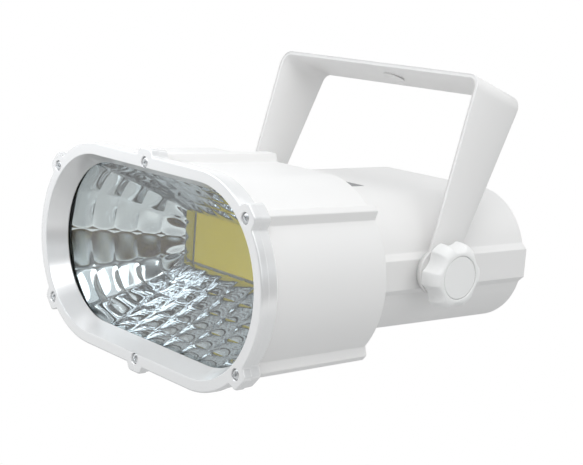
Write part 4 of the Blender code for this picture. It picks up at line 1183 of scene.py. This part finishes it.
@dataclass
class RearBody:
    """Extruded rear body with its top inlay, front seal, rear cap and cap screws."""

    half: float = 40.0
    radius: float = 39.0
    wall: float = 2.8
    start: float = 87.0
    end: float = 215.1
    pad_x: float = 80.9
    pad_half: float = 8.3
    bevel_z: float = 11.5
    inlay_x: float = 20.5
    inlay_start: float = 99.0
    inlay_end: float = 139.0
    inlay_depth: float = 1.5
    cap_inset: float = 2.1
    cap_thickness: float = 2.8
    cap_gap: float = 0.9
    screw_x: float = 66.0
    screw_z: float = 20.0
    screw_length: float = 14.5
    screw_turn: float = 25.0
    gland_hole_r: float = 8.2
    insert_bore_r: float = 6.2
    seal_in_r: float = 35.4
    seal_out_r: float = 38.4
    seal_y: float = 85.4
    seal_end: float = 86.8

    def outline(self) -> Outline:
        """Places round the section: an obround with a flat pad between two bevels at each end."""
        quarter_top = np.linspace(0, self.half, 12)
        bevel = math.degrees(math.asin(self.bevel_z / self.radius))
        lead = 8.0
        lead_angle = math.radians(bevel + lead)
        corner = [
            (self.radius * math.cos(lead_angle), self.radius * math.sin(lead_angle), 0.0),
            (math.sqrt(self.radius**2 - self.bevel_z**2), self.bevel_z, 1.2),
            (self.pad_x - self.half, self.pad_half, 0.9),
            (self.pad_x - self.half, 0.0, 0.0),
        ]
        line = rounded(corner, steps=5, closed=False)
        angles = np.radians(np.linspace(90, bevel + lead, 26))[1:-1]
        turn = np.concatenate([angles, np.arctan2(line[:, 1], line[:, 0])])
        plain = np.full(len(quarter_top) + len(angles), self.radius)
        reach = np.concatenate([plain, np.hypot(line[:, 0], line[:, 1])])
        middle = np.concatenate([quarter_top, np.full(len(turn), self.half)])
        outward = np.concatenate(
            [np.tile([0.0, 1.0], (len(quarter_top), 1)), np.stack([np.cos(turn), np.sin(turn)], axis=-1)]
        )
        return mirrored_quarter(middle, outward, reach, self.radius)

    def build(self, shop: Workshop) -> None:
        """Build all of the rear body's pieces."""
        self.build_shell(shop)
        self.build_inlay(shop)
        self.build_seal(shop)
        self.build_cap(shop)

    def build_shell(self, shop: Workshop) -> None:
        """Shell: the section carried from front to rear, hollow, with broken edges and the inlay's pocket."""
        outline = self.outline()
        inner = self.radius - self.wall
        edge = 0.5
        arc = np.radians(np.linspace(0, 90, 5))
        insets = edge * (1 - np.sin(arc))
        depths = edge * (1 - np.cos(arc))
        rows = [outline.ring(outline.reach - i, self.start + d) for i, d in zip(insets, depths)]
        rows += [outline.ring(outline.reach, y) for y in (self.start + edge + 0.15, self.end - edge - 0.15)]
        rows += [outline.ring(outline.reach - i, self.end - d) for i, d in zip(insets[::-1], depths[::-1])]
        inside = [(inner + 0.3, self.end), (inner, self.end - 0.3)]
        inside += [(inner, self.start + 0.3), (inner + 0.3, self.start)]
        grid = np.concatenate([np.stack(rows), outline.stacked(inside)])
        body = surface("rear_body_shell", grid, lift=shop.place.lamp)
        low = Vector((-self.inlay_x - 0.2, self.inlay_start - 0.2, self.radius - self.inlay_depth))
        high = Vector((self.inlay_x + 0.2, self.inlay_end + 0.2, self.radius + self.inlay_depth))
        cut(body, box("pocket_cutter", low, high, shop.place.lamp))
        bore = circle_outline(self.insert_bore_r, 40)
        drill = bore.stacked([(self.insert_bore_r, 60.0), (self.insert_bore_r, self.pad_x + 1)])
        for sign in (1, -1):
            cut(body, surface("bore_cutter", drill, wrap_rows=False, lift=shop.place.side(sign)))
        shop.hand_over(body, POWDER_COAT, Body.HEAD, Slot.WHITE_COAT, ["rear_body"])

    def build_inlay(self, shop: Workshop) -> None:
        """Top inlay: a thin plate with broken edges that lies in its pocket, dark grey as painted shade."""
        top = self.radius - self.inlay_depth + 1.4
        low = Vector((-self.inlay_x, self.inlay_start, self.radius - self.inlay_depth + 0.2))
        high = Vector((self.inlay_x, self.inlay_end, top))
        inlay = box("inlay_plate", low, high, shop.place.lamp)
        bevel = inlay.modifiers.new("Edge", "BEVEL")
        bevel.width = 0.2 * MM
        bevel.segments = 2
        shop.hand_over(inlay, PAINTED_SHADE_INLAY, Body.HEAD, Slot.DARK_INLAY, ["top_inlay"])

    def build_seal(self, shop: Workshop) -> None:
        """Seal between head and body: a rounded bead round the section."""
        outline = obround_outline(self.half, self.radius)
        corners = [
            (self.seal_in_r, self.seal_y, 0.3),
            (self.seal_out_r, self.seal_y, 0.5),
            (self.seal_out_r, self.seal_end, 0.5),
            (self.seal_in_r, self.seal_end, 0.3),
        ]
        profile = rounded(corners, steps=4, support=0.03)
        seal = surface("body_seal", outline.swept(with_weights(profile)), lift=shop.place.lamp)
        shop.hand_over(seal, SILICONE, Body.HEAD, Slot.RUBBER, ["body_gasket"])

    def build_cap(self, shop: Workshop) -> None:
        """Rear cap with a broken edge and its gland hole, and the four screws."""
        reach = self.radius - self.wall - self.cap_gap
        outline = obround_outline(self.half, reach)
        rear = self.end - self.cap_inset
        front = rear - self.cap_thickness
        rows = [(reach, front), (reach, rear - 0.5), (reach - 0.15, rear - 0.15)]
        rows += [(reach - 0.5, rear), (reach - 0.7, rear)]
        grid = outline.stacked(rows)
        cap = surface("rear_cap_plate", grid, wrap_rows=False, lift=shop.place.lamp)
        hole = circle_outline(self.gland_hole_r, 48)
        drill = hole.stacked([(self.gland_hole_r, front - 1), (self.gland_hole_r, rear + 1)])
        cut(cap, surface("gland_hole", drill, False, lift=shop.place.lamp))
        shop.hand_over(cap, POWDER_COAT, Body.HEAD, Slot.WHITE_COAT, ["rear_cap"])
        spots = [(side * self.screw_x, rise * self.screw_z) for side in (1, -1) for rise in (1, -1)]
        for number, (x, z) in enumerate(spots, start=1):
            lift = shop.place.lamp @ Matrix.Translation(Vector((x, rear + 0.2, z)) * MM)
            turn = math.radians(self.screw_turn * number)
            lift = lift @ Matrix.Rotation(math.pi, 4, "X") @ Matrix.Rotation(turn, 4, "Y")
            screw = ScrewHead().mesh(f"rear_cap_screw_{number}_detail", self.screw_length, lift)
            shop.hand_over(screw, ZINC_STEEL, Body.HEAD, Slot.STEEL, [f"rear_cap_screw_{number}"])


def box(name: str, low: Vector, high: Vector, lift: Matrix) -> bpy.types.Object:
    """Make a box between two corners given in millimetres."""
    size = (high - low) * MM
    middle = (high + low) / 2 * MM
    bm = bmesh.new()
    place = lift @ Matrix.Translation(middle) @ Matrix.Diagonal((*size, 1))
    bmesh.ops.create_cube(bm, size=1, matrix=place)
    mesh = bpy.data.meshes.new(name)
    bm.to_mesh(mesh)
    bm.free()
    return put_in_scene(name, mesh)


@dataclass
class Gland:
    """Cable gland in the rear cap: hexagonal body flange, domed nut with grip flats, and its seal."""

    thread_y: float = 203.0
    flange_y: float = 213.2
    flange: float = 5.0
    hex_r: float = 11.0
    flat_r: float = 9.53
    thread_r: float = 8.0
    bore_r: float = 5.5
    spigot: float = 6.8
    spigot_in_r: float = 6.7
    nut_length: float = 14.0
    nut_grip: float = 7.0
    seal_length: float = 7.8
    seal_in_r: float = 4.5
    seal_out_r: float = 6.5

    def hexagon(self, count: int = 96, soft: float = 14.0) -> Outline:
        """Hexagon with softened corners: the reach is a smooth minimum of its six sides' reaches."""
        flat = self.hex_r * math.cos(math.pi / 6)

        def reach(angle: Points) -> Points:
            """Combine the sides: (sum of (flat / cos)^-soft)^(-1 / soft)."""
            sides = np.radians(np.arange(6) * 60 + 30)
            facing = np.clip(np.cos(angle[:, None] - sides[None]), 1e-3, 1)
            return ((facing / flat) ** soft).sum(axis=1) ** (-1 / soft)

        return circle_outline(flat, count, reach)

    def build(self, shop: Workshop) -> None:
        """Build the gland's body, nut and seal."""
        hexagon = self.hexagon()
        end = self.flange_y + self.flange
        body_rows = rounded(
            [
                (self.bore_r, self.thread_y, 0.2, 0),
                (self.thread_r, self.thread_y, 0.4, 0),
                (self.thread_r, self.flange_y, 0.0, 0),
                (self.flat_r, self.flange_y, 0.4, 1),
                (self.flat_r, end, 0.7, 1),
                (self.thread_r, end, 0.0, 0),
                (self.thread_r, end + self.spigot, 0.3, 0),
                (self.spigot_in_r, end + self.spigot, 0.2, 0),
                (self.spigot_in_r, end, 0.1, 0),
                (self.bore_r, end, 0.1, 0),
            ],
            steps=3,
        )
        body = surface("gland_base", hexagon.swept(body_rows), lift=shop.place.lamp)
        shop.hand_over(body, NYLON, Body.HEAD, Slot.BLACK_PLASTIC, ["gland_body"])
        nut_y = end + 0.2
        nut_end = nut_y + self.nut_length
        nut_rows = rounded(
            [
                (self.thread_r + 0.2, nut_y, 0.1, 0),
                (self.flat_r, nut_y, 0.5, 1),
                (self.flat_r, nut_y + self.nut_grip, 0.6, 1),
                (9.0, nut_y + 8.6, 0.8, 0),
                (7.0, nut_end - 0.3, 1.0, 0),
                (4.6, nut_end, 0.6, 0),
                (4.4, nut_end - 0.8, 0.3, 0),
                (6.9, nut_y + 9.2, 0.5, 0),
                (self.thread_r + 0.2, nut_y + 7.2, 0.3, 0),
            ],
            steps=4,
        )
        nut = surface("gland_dome_nut", hexagon.swept(nut_rows), lift=shop.place.lamp)
        shop.hand_over(nut, NYLON, Body.HEAD, Slot.BLACK_PLASTIC, ["gland_nut"])
        seal_end = nut_y + self.seal_length
        inner, outer = self.seal_in_r, self.seal_out_r
        corners = [(inner, nut_y, 0.3, 0), (outer, nut_y, 0.2, 0)]
        corners += [(outer, seal_end, 0.5, 0), (inner, seal_end, 0.6, 0)]
        seal_rows = rounded(corners, steps=3)
        seal = surface("gland_sleeve", hexagon.swept(seal_rows), lift=shop.place.lamp)
        shop.hand_over(seal, SILICONE, Body.HEAD, Slot.RUBBER, ["gland_seal"])


@dataclass
class Pivot:
    """One side's pivot, drawn along y outwards: friction washer, clamp washer, knob and its cap; the stud
    keeps its solid.
    """

    sign: int
    friction_x: float = 81.1
    friction: float = 2.4
    friction_r: float = 12.0
    clamp_x: float = 86.4
    clamp: float = 1.6
    clamp_r: float = 8.0
    knob_x: float = 88.2
    collar: float = 3.6
    collar_r: float = 9.5
    side: float = 3.4
    foot: float = 1.1
    dome: float = 7.9
    rim: float = 1.2
    knob_r: float = 18.8
    lobes: int = 6
    lobe_angle: float = 28.0
    scallop_r: float = 9.9
    scallop_centre: float = 25.9
    cap_r: float = 11.8
    cap_thickness: float = 1.6
    stud_r: float = 4.0

    @property
    def word(self) -> str:
        """The side's name, as the solids have it."""
        return "right" if self.sign > 0 else "left"

    def lobe_reach(self, angle: Points) -> Points:
        """Reach of the lobed outline: a smooth minimum of the lobes' circle and the scallops' circles.

        A scallop's reach at an angle g from its middle is C cos g - sqrt(r^2 - C^2 sin^2 g).
        """
        pitch = 2 * math.pi / self.lobes
        lobe = math.radians(self.lobe_angle)
        turn = (angle - lobe) % pitch - pitch / 2
        sideways = np.minimum(np.abs(self.scallop_centre * np.sin(turn)), self.scallop_r * 0.999)
        bite = self.scallop_centre * np.cos(turn) - np.sqrt(self.scallop_r**2 - sideways**2)
        soft = 1.0
        step = bite - self.knob_r
        return (bite + self.knob_r - np.sqrt(step**2 + soft)) / 2 + 0.25 * np.exp(-(step**2))

    def build(self, shop: Workshop) -> None:
        """Build this side's washers, knob and cap."""
        lift = shop.place.side(self.sign)
        clamp_body = Body.RIGHT_CLAMP if self.sign > 0 else Body.LEFT_CLAMP
        knob_body = Body.RIGHT_KNOB if self.sign > 0 else Body.LEFT_KNOB
        ring = circle_outline(1.0, 64)
        washer = self.washer(4.4, self.friction_r, self.friction_x, self.friction, 0.4)
        piece = surface(f"friction_ring_{self.word}", ring.swept(washer), lift=lift)
        shop.hand_over(piece, PALE_SILICONE, Body.HEAD, Slot.RUBBER, [f"friction_washer_{self.word}"])
        washer = self.washer(4.3, self.clamp_r, self.clamp_x, self.clamp, 0.25)
        piece = surface(f"clamp_ring_{self.word}", ring.swept(washer), lift=lift)
        shop.hand_over(piece, ZINC_STEEL, clamp_body, Slot.STEEL, [f"clamp_washer_{self.word}"])
        self.build_knob(shop, lift, knob_body)

    @staticmethod
    def washer(inner: float, outer: float, start: float, thickness: float, edge: float) -> Points:
        """Profile rows of a flat washer with rounded edges."""
        end = start + thickness
        corners = [(inner, start, edge, 0), (outer, start, edge, 0)]
        corners += [(outer, end, edge, 0), (inner, end, edge, 0)]
        return rounded(corners, steps=3, support=0.05)

    def build_knob(self, shop: Workshop, lift: Matrix, body: Body) -> None:
        """Knob: collar, lobed head that domes to a round rim, a pocket for the cap, and the cap.

        A row is (round radius r, x, share s). Its reach at an angle is r + (lobed reach - r) * s, and over
        the dome s is cos t while x rises with sin t.
        """
        count = 288
        angle = np.linspace(0, 2 * math.pi, count, endpoint=False)
        outward = np.stack([np.cos(angle), np.sin(angle)], axis=-1)
        from_top = np.arctan2(-outward[:, 0] * self.sign, outward[:, 1])
        reach = self.lobe_reach(from_top * self.sign)
        outline = Outline(np.zeros(count), outward, reach, 0.0)
        lobe_x = self.knob_x + self.collar
        rim_x = lobe_x + self.side
        crown_x = rim_x + self.dome
        crown_r = self.cap_r + self.rim
        pocket_x = crown_x - self.cap_thickness - 0.4
        back = rounded(
            [
                (self.stud_r + 0.2, pocket_x - 2.8, 0.0, 0),
                (self.stud_r + 0.2, self.knob_x, 0.3, 0),
                (self.collar_r, self.knob_x, 0.6, 0),
                (self.collar_r, lobe_x, 0.9, 0),
            ],
            steps=5,
            closed=False,
        )
        turn = np.radians(np.linspace(0, 90, 9))
        low_edge = 1 - (1 - np.sin(turn)) * self.foot / (self.knob_r - crown_r)
        foot_x = lobe_x + self.foot * (1 - np.cos(turn))
        foot = np.stack([np.full(9, crown_r), foot_x, low_edge], axis=-1)
        turn = np.radians(np.linspace(0, 90, 25))
        dome = np.stack([np.full(25, crown_r), rim_x + self.dome * np.sin(turn), np.cos(turn)], axis=-1)
        front = rounded(
            [
                (crown_r - 0.1, crown_x, 0.0, 0),
                (self.cap_r + 0.55, crown_x, 0.2, 0),
                (self.cap_r + 0.15, crown_x - 0.4, 0.1, 0),
                (self.cap_r + 0.15, pocket_x, 0.0, 0),
            ],
            steps=4,
            support=0.04,
            closed=False,
        )
        plan = np.concatenate([back, foot, dome, front])
        rows = [outline.ring(r + (outline.reach - r) * share, y) for r, y, share in plan]
        knob = surface(f"knob_{self.word}_lobed", np.stack(rows), wrap_rows=False, lift=lift)
        shop.hand_over(knob, KNOB_PLASTIC, body, Slot.WHITE_PLASTIC, [f"knob_{self.word}"])
        low = pocket_x + 0.2
        high = low + self.cap_thickness
        disc = circle_outline(self.cap_r, 96)
        rows = [(self.cap_r - 0.1, low), (self.cap_r, low + 0.2), (self.cap_r, high - 0.5)]
        rows += [(self.cap_r - 0.08, high - 0.36), (self.cap_r - 0.35, high - 0.06)]
        rows += [(self.cap_r - 0.55, high), (self.cap_r - 0.8, high), (2.0, high)]
        cap = surface(f"knob_cap_{self.word}_disc", disc.stacked(rows), wrap_rows=False, lift=lift)
        shop.hand_over(cap, KNOB_PLASTIC, body, Slot.WHITE_PLASTIC, [f"knob_cap_{self.word}"])


@dataclass
class Yoke:
    """U yoke of bent strip: tapered arms with round ends, two bends and a drilled crossbar.

    The strip is a section, a rectangle with rounded edges, carried along a path from the right arm's end
    over the crossbar to the left arm's end. Its width changes along the path.
    """

    arm_x: float = 83.7
    thickness: float = 2.5
    rise: float = 108.2
    bend_r: float = 8.0
    end_r: float = 13.5
    neck_half: float = 9.8
    bar_half: float = 18.45
    hole_r: float = 5.5
    pivot_r: float = 4.5
    edge: float = 0.45

    def half_width(self, rise: Points) -> Points:
        """Half width at a height above the pivot: a round end that runs into a tapered arm."""
        arm_top = self.rise - self.bend_r
        taper = self.neck_half + (self.bar_half - self.neck_half) * np.clip(rise / arm_top, 0, 1)
        end = np.sqrt(np.clip(self.end_r**2 - rise**2, 0, None))
        blended = (end + taper + np.sqrt((end - taper) ** 2 + 0.25)) / 2
        return np.where(rise < 0, end, blended)

    def path(self) -> tuple[Points, Points, Points]:
        """Return the outer face's x and rise, the inward normal and the half width along the whole strip."""
        turn = np.radians(np.linspace(6, 130, 42))
        disc = -self.end_r * np.cos(turn)
        arm = np.linspace(disc[-1], self.rise - self.bend_r, 40)[1:-1]
        rises = np.concatenate([disc, arm])
        bend = np.radians(np.linspace(0, 90, 19))
        outer_x = self.arm_x + self.thickness
        centre = np.array([outer_x - self.bend_r, self.rise - self.bend_r])
        arc = centre + self.bend_r * np.stack([np.cos(bend), np.sin(bend)], axis=-1)
        straight = np.stack([np.full(len(rises), outer_x), rises], axis=-1)
        bar = np.stack([np.linspace(centre[0], 0, 12)[1:], np.full(11, self.rise)], axis=-1)
        place = np.concatenate([straight, arc, bar])
        normal = np.concatenate(
            [
                np.tile([-1.0, 0.0], (len(rises), 1)),
                -np.stack([np.cos(bend), np.sin(bend)], axis=-1),
                np.tile([0.0, -1.0], (11, 1)),
            ]
        )
        half = np.concatenate([self.half_width(rises), np.full(len(bend) + 11, self.bar_half)])
        mirror = np.array([-1.0, 1.0])
        place = np.concatenate([place, place[-2::-1] * mirror])
        normal = np.concatenate([normal, normal[-2::-1] * mirror])
        return place, normal, np.concatenate([half, half[-2::-1]])

    def build(self, shop: Workshop) -> None:
        """Build the yoke and drill its three holes."""
        place, normal, half = self.path()
        arc = np.radians(np.linspace(0, 90, 5))
        lip = self.edge * (1 - np.sin(arc))
        side = self.edge * (1 - np.cos(arc))
        depth = np.concatenate([lip, self.thickness - lip[::-1], self.thickness - lip, lip[::-1]])
        inset = np.concatenate([side, side[::-1], side, side[::-1]])
        sign = np.repeat([1.0, 1.0, -1.0, -1.0], 5)
        support_depth = np.array([0.0, self.thickness, self.thickness, 0.0])
        depth = np.concatenate([depth[:10], support_depth[1:3], depth[10:], [0.0, 0.0]])
        inset = np.concatenate([inset[:10], [self.edge + 0.15] * 2, inset[10:], [self.edge + 0.15] * 2])
        sign = np.concatenate([sign[:10], [1.0, -1.0], sign[10:], [-1.0, 1.0]])
        width = np.maximum(half[:, None] - inset[None], 0.02) * sign[None]
        x = place[:, 0][:, None] + normal[:, 0][:, None] * depth[None]
        rise = place[:, 1][:, None] + normal[:, 1][:, None] * depth[None]
        grid = np.stack([x, width, rise], axis=-1)
        lift = Matrix.Translation(shop.place.pivot) @ Matrix.Rotation(-shop.place.lean, 4, "X")
        yoke = surface("yoke_strip", grid, wrap_rows=False, lift=lift)
        drill = circle_outline(1.0, 64)
        rows = [(self.hole_r + 1.3, -1.0), (self.hole_r, 0.3), (self.hole_r, self.thickness - 0.3)]
        rows += [(self.hole_r + 1.3, self.thickness + 1.0)]
        bar = drill.stacked(rows)
        top = lift @ Matrix.Translation((0, 0, self.rise * MM)) @ Matrix.Rotation(-math.pi / 2, 4, "X")
        outer_x = self.arm_x + self.thickness
        cut(yoke, surface("bar_drill", bar, wrap_rows=False, lift=top))
        bore = drill.stacked([(self.pivot_r, self.arm_x - 1), (self.pivot_r, outer_x + 1)])
        for sign in (1, -1):
            cut(yoke, surface("arm_drill", bore, wrap_rows=False, lift=shop.place.side(sign)))
        shop.hand_over(yoke, STRIP_COAT, Body.YOKE, Slot.WHITE_COAT, ["yoke"])


# Hidden solids that keep their shape, with the finish of each
KEPT_NODES: dict[Finish, tuple[str, ...]] = {
    SOLDER_MASK: ("led_board", "terminal_block"),
    GAP_PAD: ("thermal_pad",),
    EXTRUDED_ALUMINIUM: ("heat_sink", "driver_case"),
    NYLON: ("gland_locknut",),
    TURNED_BRASS: ("pivot_insert_right", "pivot_insert_left"),
    ZINC_STEEL: (
        "knob_stud_right",
        "knob_stud_left",
        *(f"{group}_screw_{number}" for group in ("led", "heat_sink", "body") for number in range(1, 5)),
    ),
}


@dataclass(frozen=True)
class SoftBox:
    """A rectangular lamp that faces the object: its place and size in metres, and its power in watts."""

    name: str
    spot: tuple[float, float, float]
    size: tuple[float, float]
    power: float
    colour: str = "#FFFFFF"


@dataclass
class Studio:
    """Camera, soft lights and a pale floor well below the hanging lamp.

    A room tone is the colour of the surroundings at a height, from 0 straight down to 1 straight up. The
    bright ones are the ceiling's strip lights. The white backdrop stands where backdrop_way points.
    """

    camera_x: float = 614.1
    camera_y: float = -576.9
    camera_z: float = 46.5
    azimuth: float = 50.57
    elevation: float = 9.974
    roll: float = 3.983
    focal_pixels: float = 1397.9
    image_width: float = 583.0
    sensor: float = 36.0
    floor_drop: float = 420.0
    floor_half: float = 1900.0
    floor_colour: str = "#D2D2D2"
    ambient: str = "#D2D4D5"
    room_tones: tuple[tuple[float, str], ...] = (
        (0.0, "#5E6264"),
        (1.0, "#8F9498"),
        (0.20, "#9CA0A2"),
        (0.34, "#A6A9AA"),
        (0.43, "#4A3B35"),
        (0.52, "#2A2220"),
        (0.57, "#7C8082"),
        (0.64, "#DDE3E8"),
        (0.67, "#34373A"),
        (0.76, "#7A7F83"),
        (0.86, "#EEF1F4"),
        (0.89, "#4C5054"),
    )
    backdrop_way: tuple[float, float, float] = (-0.77, 0.63, 0.0)
    backdrop_edge: tuple[float, float] = (-0.15, 0.25)
    backdrop_top: tuple[float, float] = (0.48, 0.68)
    target: tuple[float, float, float] = (0.0, -0.08, -0.1)
    boxes: tuple[SoftBox, ...] = (
        SoftBox("near_box", (-0.09, -0.34, 0.05), (0.20, 0.12), 0.20, "#F6FAFF"),
        SoftBox("strip_box", (0.02, -0.30, 0.12), (0.34, 0.10), 0.10, "#F6FAFF"),
        SoftBox("fill_box", (1.3, -0.1, 0.45), (0.6, 0.6), 1.7),
        SoftBox("top_box", (0.15, 0.25, 1.2), (0.9, 0.9), 3.3),
        SoftBox("right_box", (0.55, -0.5, 0.7), (0.5, 0.5), 2.4),
    )

    def build_camera(self) -> None:
        """Camera where the photograph was taken from: its back axis from two angles, then a small roll."""
        turn = math.radians(self.azimuth)
        rise = math.radians(self.elevation)
        back = Vector((math.sin(turn) * math.cos(rise), -math.cos(turn) * math.cos(rise), math.sin(rise)))
        level = Vector((0, 0, 1)).cross(back).normalized()
        upright = back.cross(level)
        tilt = math.radians(self.roll)
        right = level * math.cos(tilt) + upright * math.sin(tilt)
        up = upright * math.cos(tilt) - level * math.sin(tilt)
        data = bpy.data.cameras.new("camera")
        data.sensor_width = self.sensor
        data.lens = self.focal_pixels * self.sensor / self.image_width
        data.clip_start = 0.01
        data.clip_end = 50
        camera = put_in_scene("camera", data)
        place = Vector((self.camera_x, self.camera_y, self.camera_z)) * MM
        camera.matrix_world = Matrix.Translation(place) @ Matrix((right, up, back)).transposed().to_4x4()
        bpy.context.scene.camera = camera

    def build_world(self) -> None:
        """World: an even pale light, a white backdrop behind the lamp and a studio's tones in front of it.

        Mirrors and glass see the backdrop, and on the other side a ramp over the height of the direction: a
        grey table, a dark band where the camera stands and a grey ceiling. The camera sees plain white.
        """
        world = bpy.data.worlds.new("studio")
        world.use_nodes = True
        bpy.context.scene.world = world
        tree = world.node_tree
        tree.nodes.clear()
        way = add_node(tree, "ShaderNodeTexCoord").outputs["Object"]
        height = add_node(tree, "ShaderNodeSeparateXYZ", links={"Vector": way}).outputs["Z"]
        ramp = add_node(tree, "ShaderNodeValToRGB", links={"Fac": map_range(tree, height, (-1.0, 1.0))})
        stops = ramp.color_ramp.elements
        for index, (spot, colour) in enumerate(self.room_tones):
            stop = stops[index] if index < 2 else stops.new(spot)
            stop.position = spot
            stop.color = linear(colour)
        facing = add_node(
            tree, "ShaderNodeVectorMath", {"operation": "DOT_PRODUCT"}, {1: self.backdrop_way}, {0: way}
        ).outputs["Value"]
        sideways = map_range(tree, facing, self.backdrop_edge, smooth=True)
        below_top = map_range(tree, height, self.backdrop_top, (1.0, 0.0), smooth=True)
        on_backdrop = math_node(tree, "MULTIPLY", sideways, below_top)

        def background(**feeds: dict[str, object]) -> Socket:
            """Add a Background shader and return its output."""
            return add_node(tree, "ShaderNodeBackground", **feeds).outputs["Background"]

        room = background(links={"Color": ramp.outputs["Color"]})
        white = background(inputs={"Color": WHITE})
        plain = background(inputs={"Color": linear(self.ambient)})
        camera, mirrored = ray_kinds(tree)
        around = mix_shaders(tree, on_backdrop, room, white)
        lit = mix_shaders(tree, mirrored, plain, around)
        add_node(tree, "ShaderNodeOutputWorld", links={"Surface": mix_shaders(tree, camera, lit, white)})

    def build_floor(self, place: Place) -> None:
        """Pale table under the lamp: white to the camera, and white in mirrors only far off.

        Close to the middle the camera sees the lamp's shade on it. The shares of white run over the distance
        from the middle, in metres.
        """
        size = self.floor_half * MM
        mesh = bpy.data.meshes.new("floor")
        corners = [(-size, -size, 0), (size, -size, 0), (size, size, 0), (-size, size, 0)]
        mesh.from_pydata(corners, [], [(0, 1, 2, 3)])
        mesh.transform(Matrix.Translation((0, 0, place.pivot.z - self.floor_drop * MM)))
        floor = put_in_scene("floor", mesh)
        material = bpy.data.materials.new("studio_floor")
        material.use_nodes = True
        tree = material.node_tree
        shader = tree.nodes["Principled BSDF"]
        shader.inputs["Base Color"].default_value = linear(self.floor_colour)
        shader.inputs["Roughness"].default_value = 0.9
        shader.inputs["Specular IOR Level"].default_value = 0.0
        spot = add_node(tree, "ShaderNodeTexCoord").outputs["Object"]
        flat = add_node(tree, "ShaderNodeVectorMath", {"operation": "MULTIPLY"}, {1: (1, 1, 0)}, {0: spot})
        away = add_node(
            tree, "ShaderNodeVectorMath", {"operation": "LENGTH"}, links={0: flat.outputs["Vector"]}
        ).outputs["Value"]
        camera, mirrored = ray_kinds(tree)
        to_camera = map_range(tree, away, (0.2, 0.8), (0.8, 1.0), smooth=True)
        to_mirrors = map_range(tree, away, (0.8, 1.6), (0.15, 1.0), smooth=True)
        seen = math_node(tree, "MULTIPLY", camera, to_camera)
        shown = math_node(tree, "MULTIPLY", mirrored, to_mirrors)
        share = math_node(tree, "MAXIMUM", seen, shown)
        glow = add_node(tree, "ShaderNodeEmission", inputs={"Color": WHITE, "Strength": 1.0})
        mixed = mix_shaders(tree, share, shader.outputs["BSDF"], glow.outputs["Emission"])
        tree.links.new(mixed, tree.nodes["Material Output"].inputs["Surface"])
        mesh.materials.append(material)

    def build_lights(self) -> None:
        """Soft boxes: two small ones close in front, and large ones at the right, above and in front."""
        target = Vector(self.target)
        for box in self.boxes:
            data = bpy.data.lights.new(box.name, "AREA")
            data.shape = "RECTANGLE"
            data.size, data.size_y = box.size
            data.energy = box.power
            data.color = linear(box.colour)[:3]
            light = put_in_scene(box.name, data)
            light.location = box.spot
            light.rotation_euler = (target - Vector(box.spot)).to_track_quat("-Z", "Y").to_euler()
            light.visible_camera = False

    def build(self, place: Place) -> None:
        """Set up the whole studio."""
        bpy.context.scene.view_settings.view_transform = "Standard"
        self.build_camera()
        self.build_world()
        self.build_floor(place)
        self.build_lights()


def find_place(frame: dict) -> Place:
    """Work out the lamp's place: the bezel's front, the glass's middle, the tilt axis and the yoke's lean."""
    low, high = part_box("front_glass")
    front = Vector(((low.x + high.x) / 2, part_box("bezel_frame")[0].y, (low.z + high.z) / 2))
    tilt = next(joint for joint in frame["joints"] if joint["name"] == "head_tilt")
    axis = next(mount for mount in frame["record"]["mounts"] if mount["name"] == "yoke_hole")["axis"]
    return Place(front, Vector(tilt["pos_m"]), math.atan2(axis[1], axis[2]))


def main() -> None:
    """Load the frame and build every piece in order."""
    logging.basicConfig(level=logging.INFO, format="%(message)s")
    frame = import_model()
    place = find_place(frame)
    shop = Workshop(Finishes(), place)
    Studio().build(place)
    head = LampHead()
    head.build_bezel(shop)
    head.build_screws(shop)
    head.build_glass(shop)
    head.build_housing(shop)
    Reflector().build(shop)
    LightEngine().build(shop)
    RearBody().build(shop)
    Gland().build(shop)
    for sign in (1, -1):
        Pivot(sign).build(shop)
    Yoke().build(shop)
    for finish, nodes in KEPT_NODES.items():
        for node in nodes:
            shop.finishes.dress(frame["nodes"][node], finish)
            LOG.info("%s: keeps its solid", node)


if __name__ == "__main__":
    main()
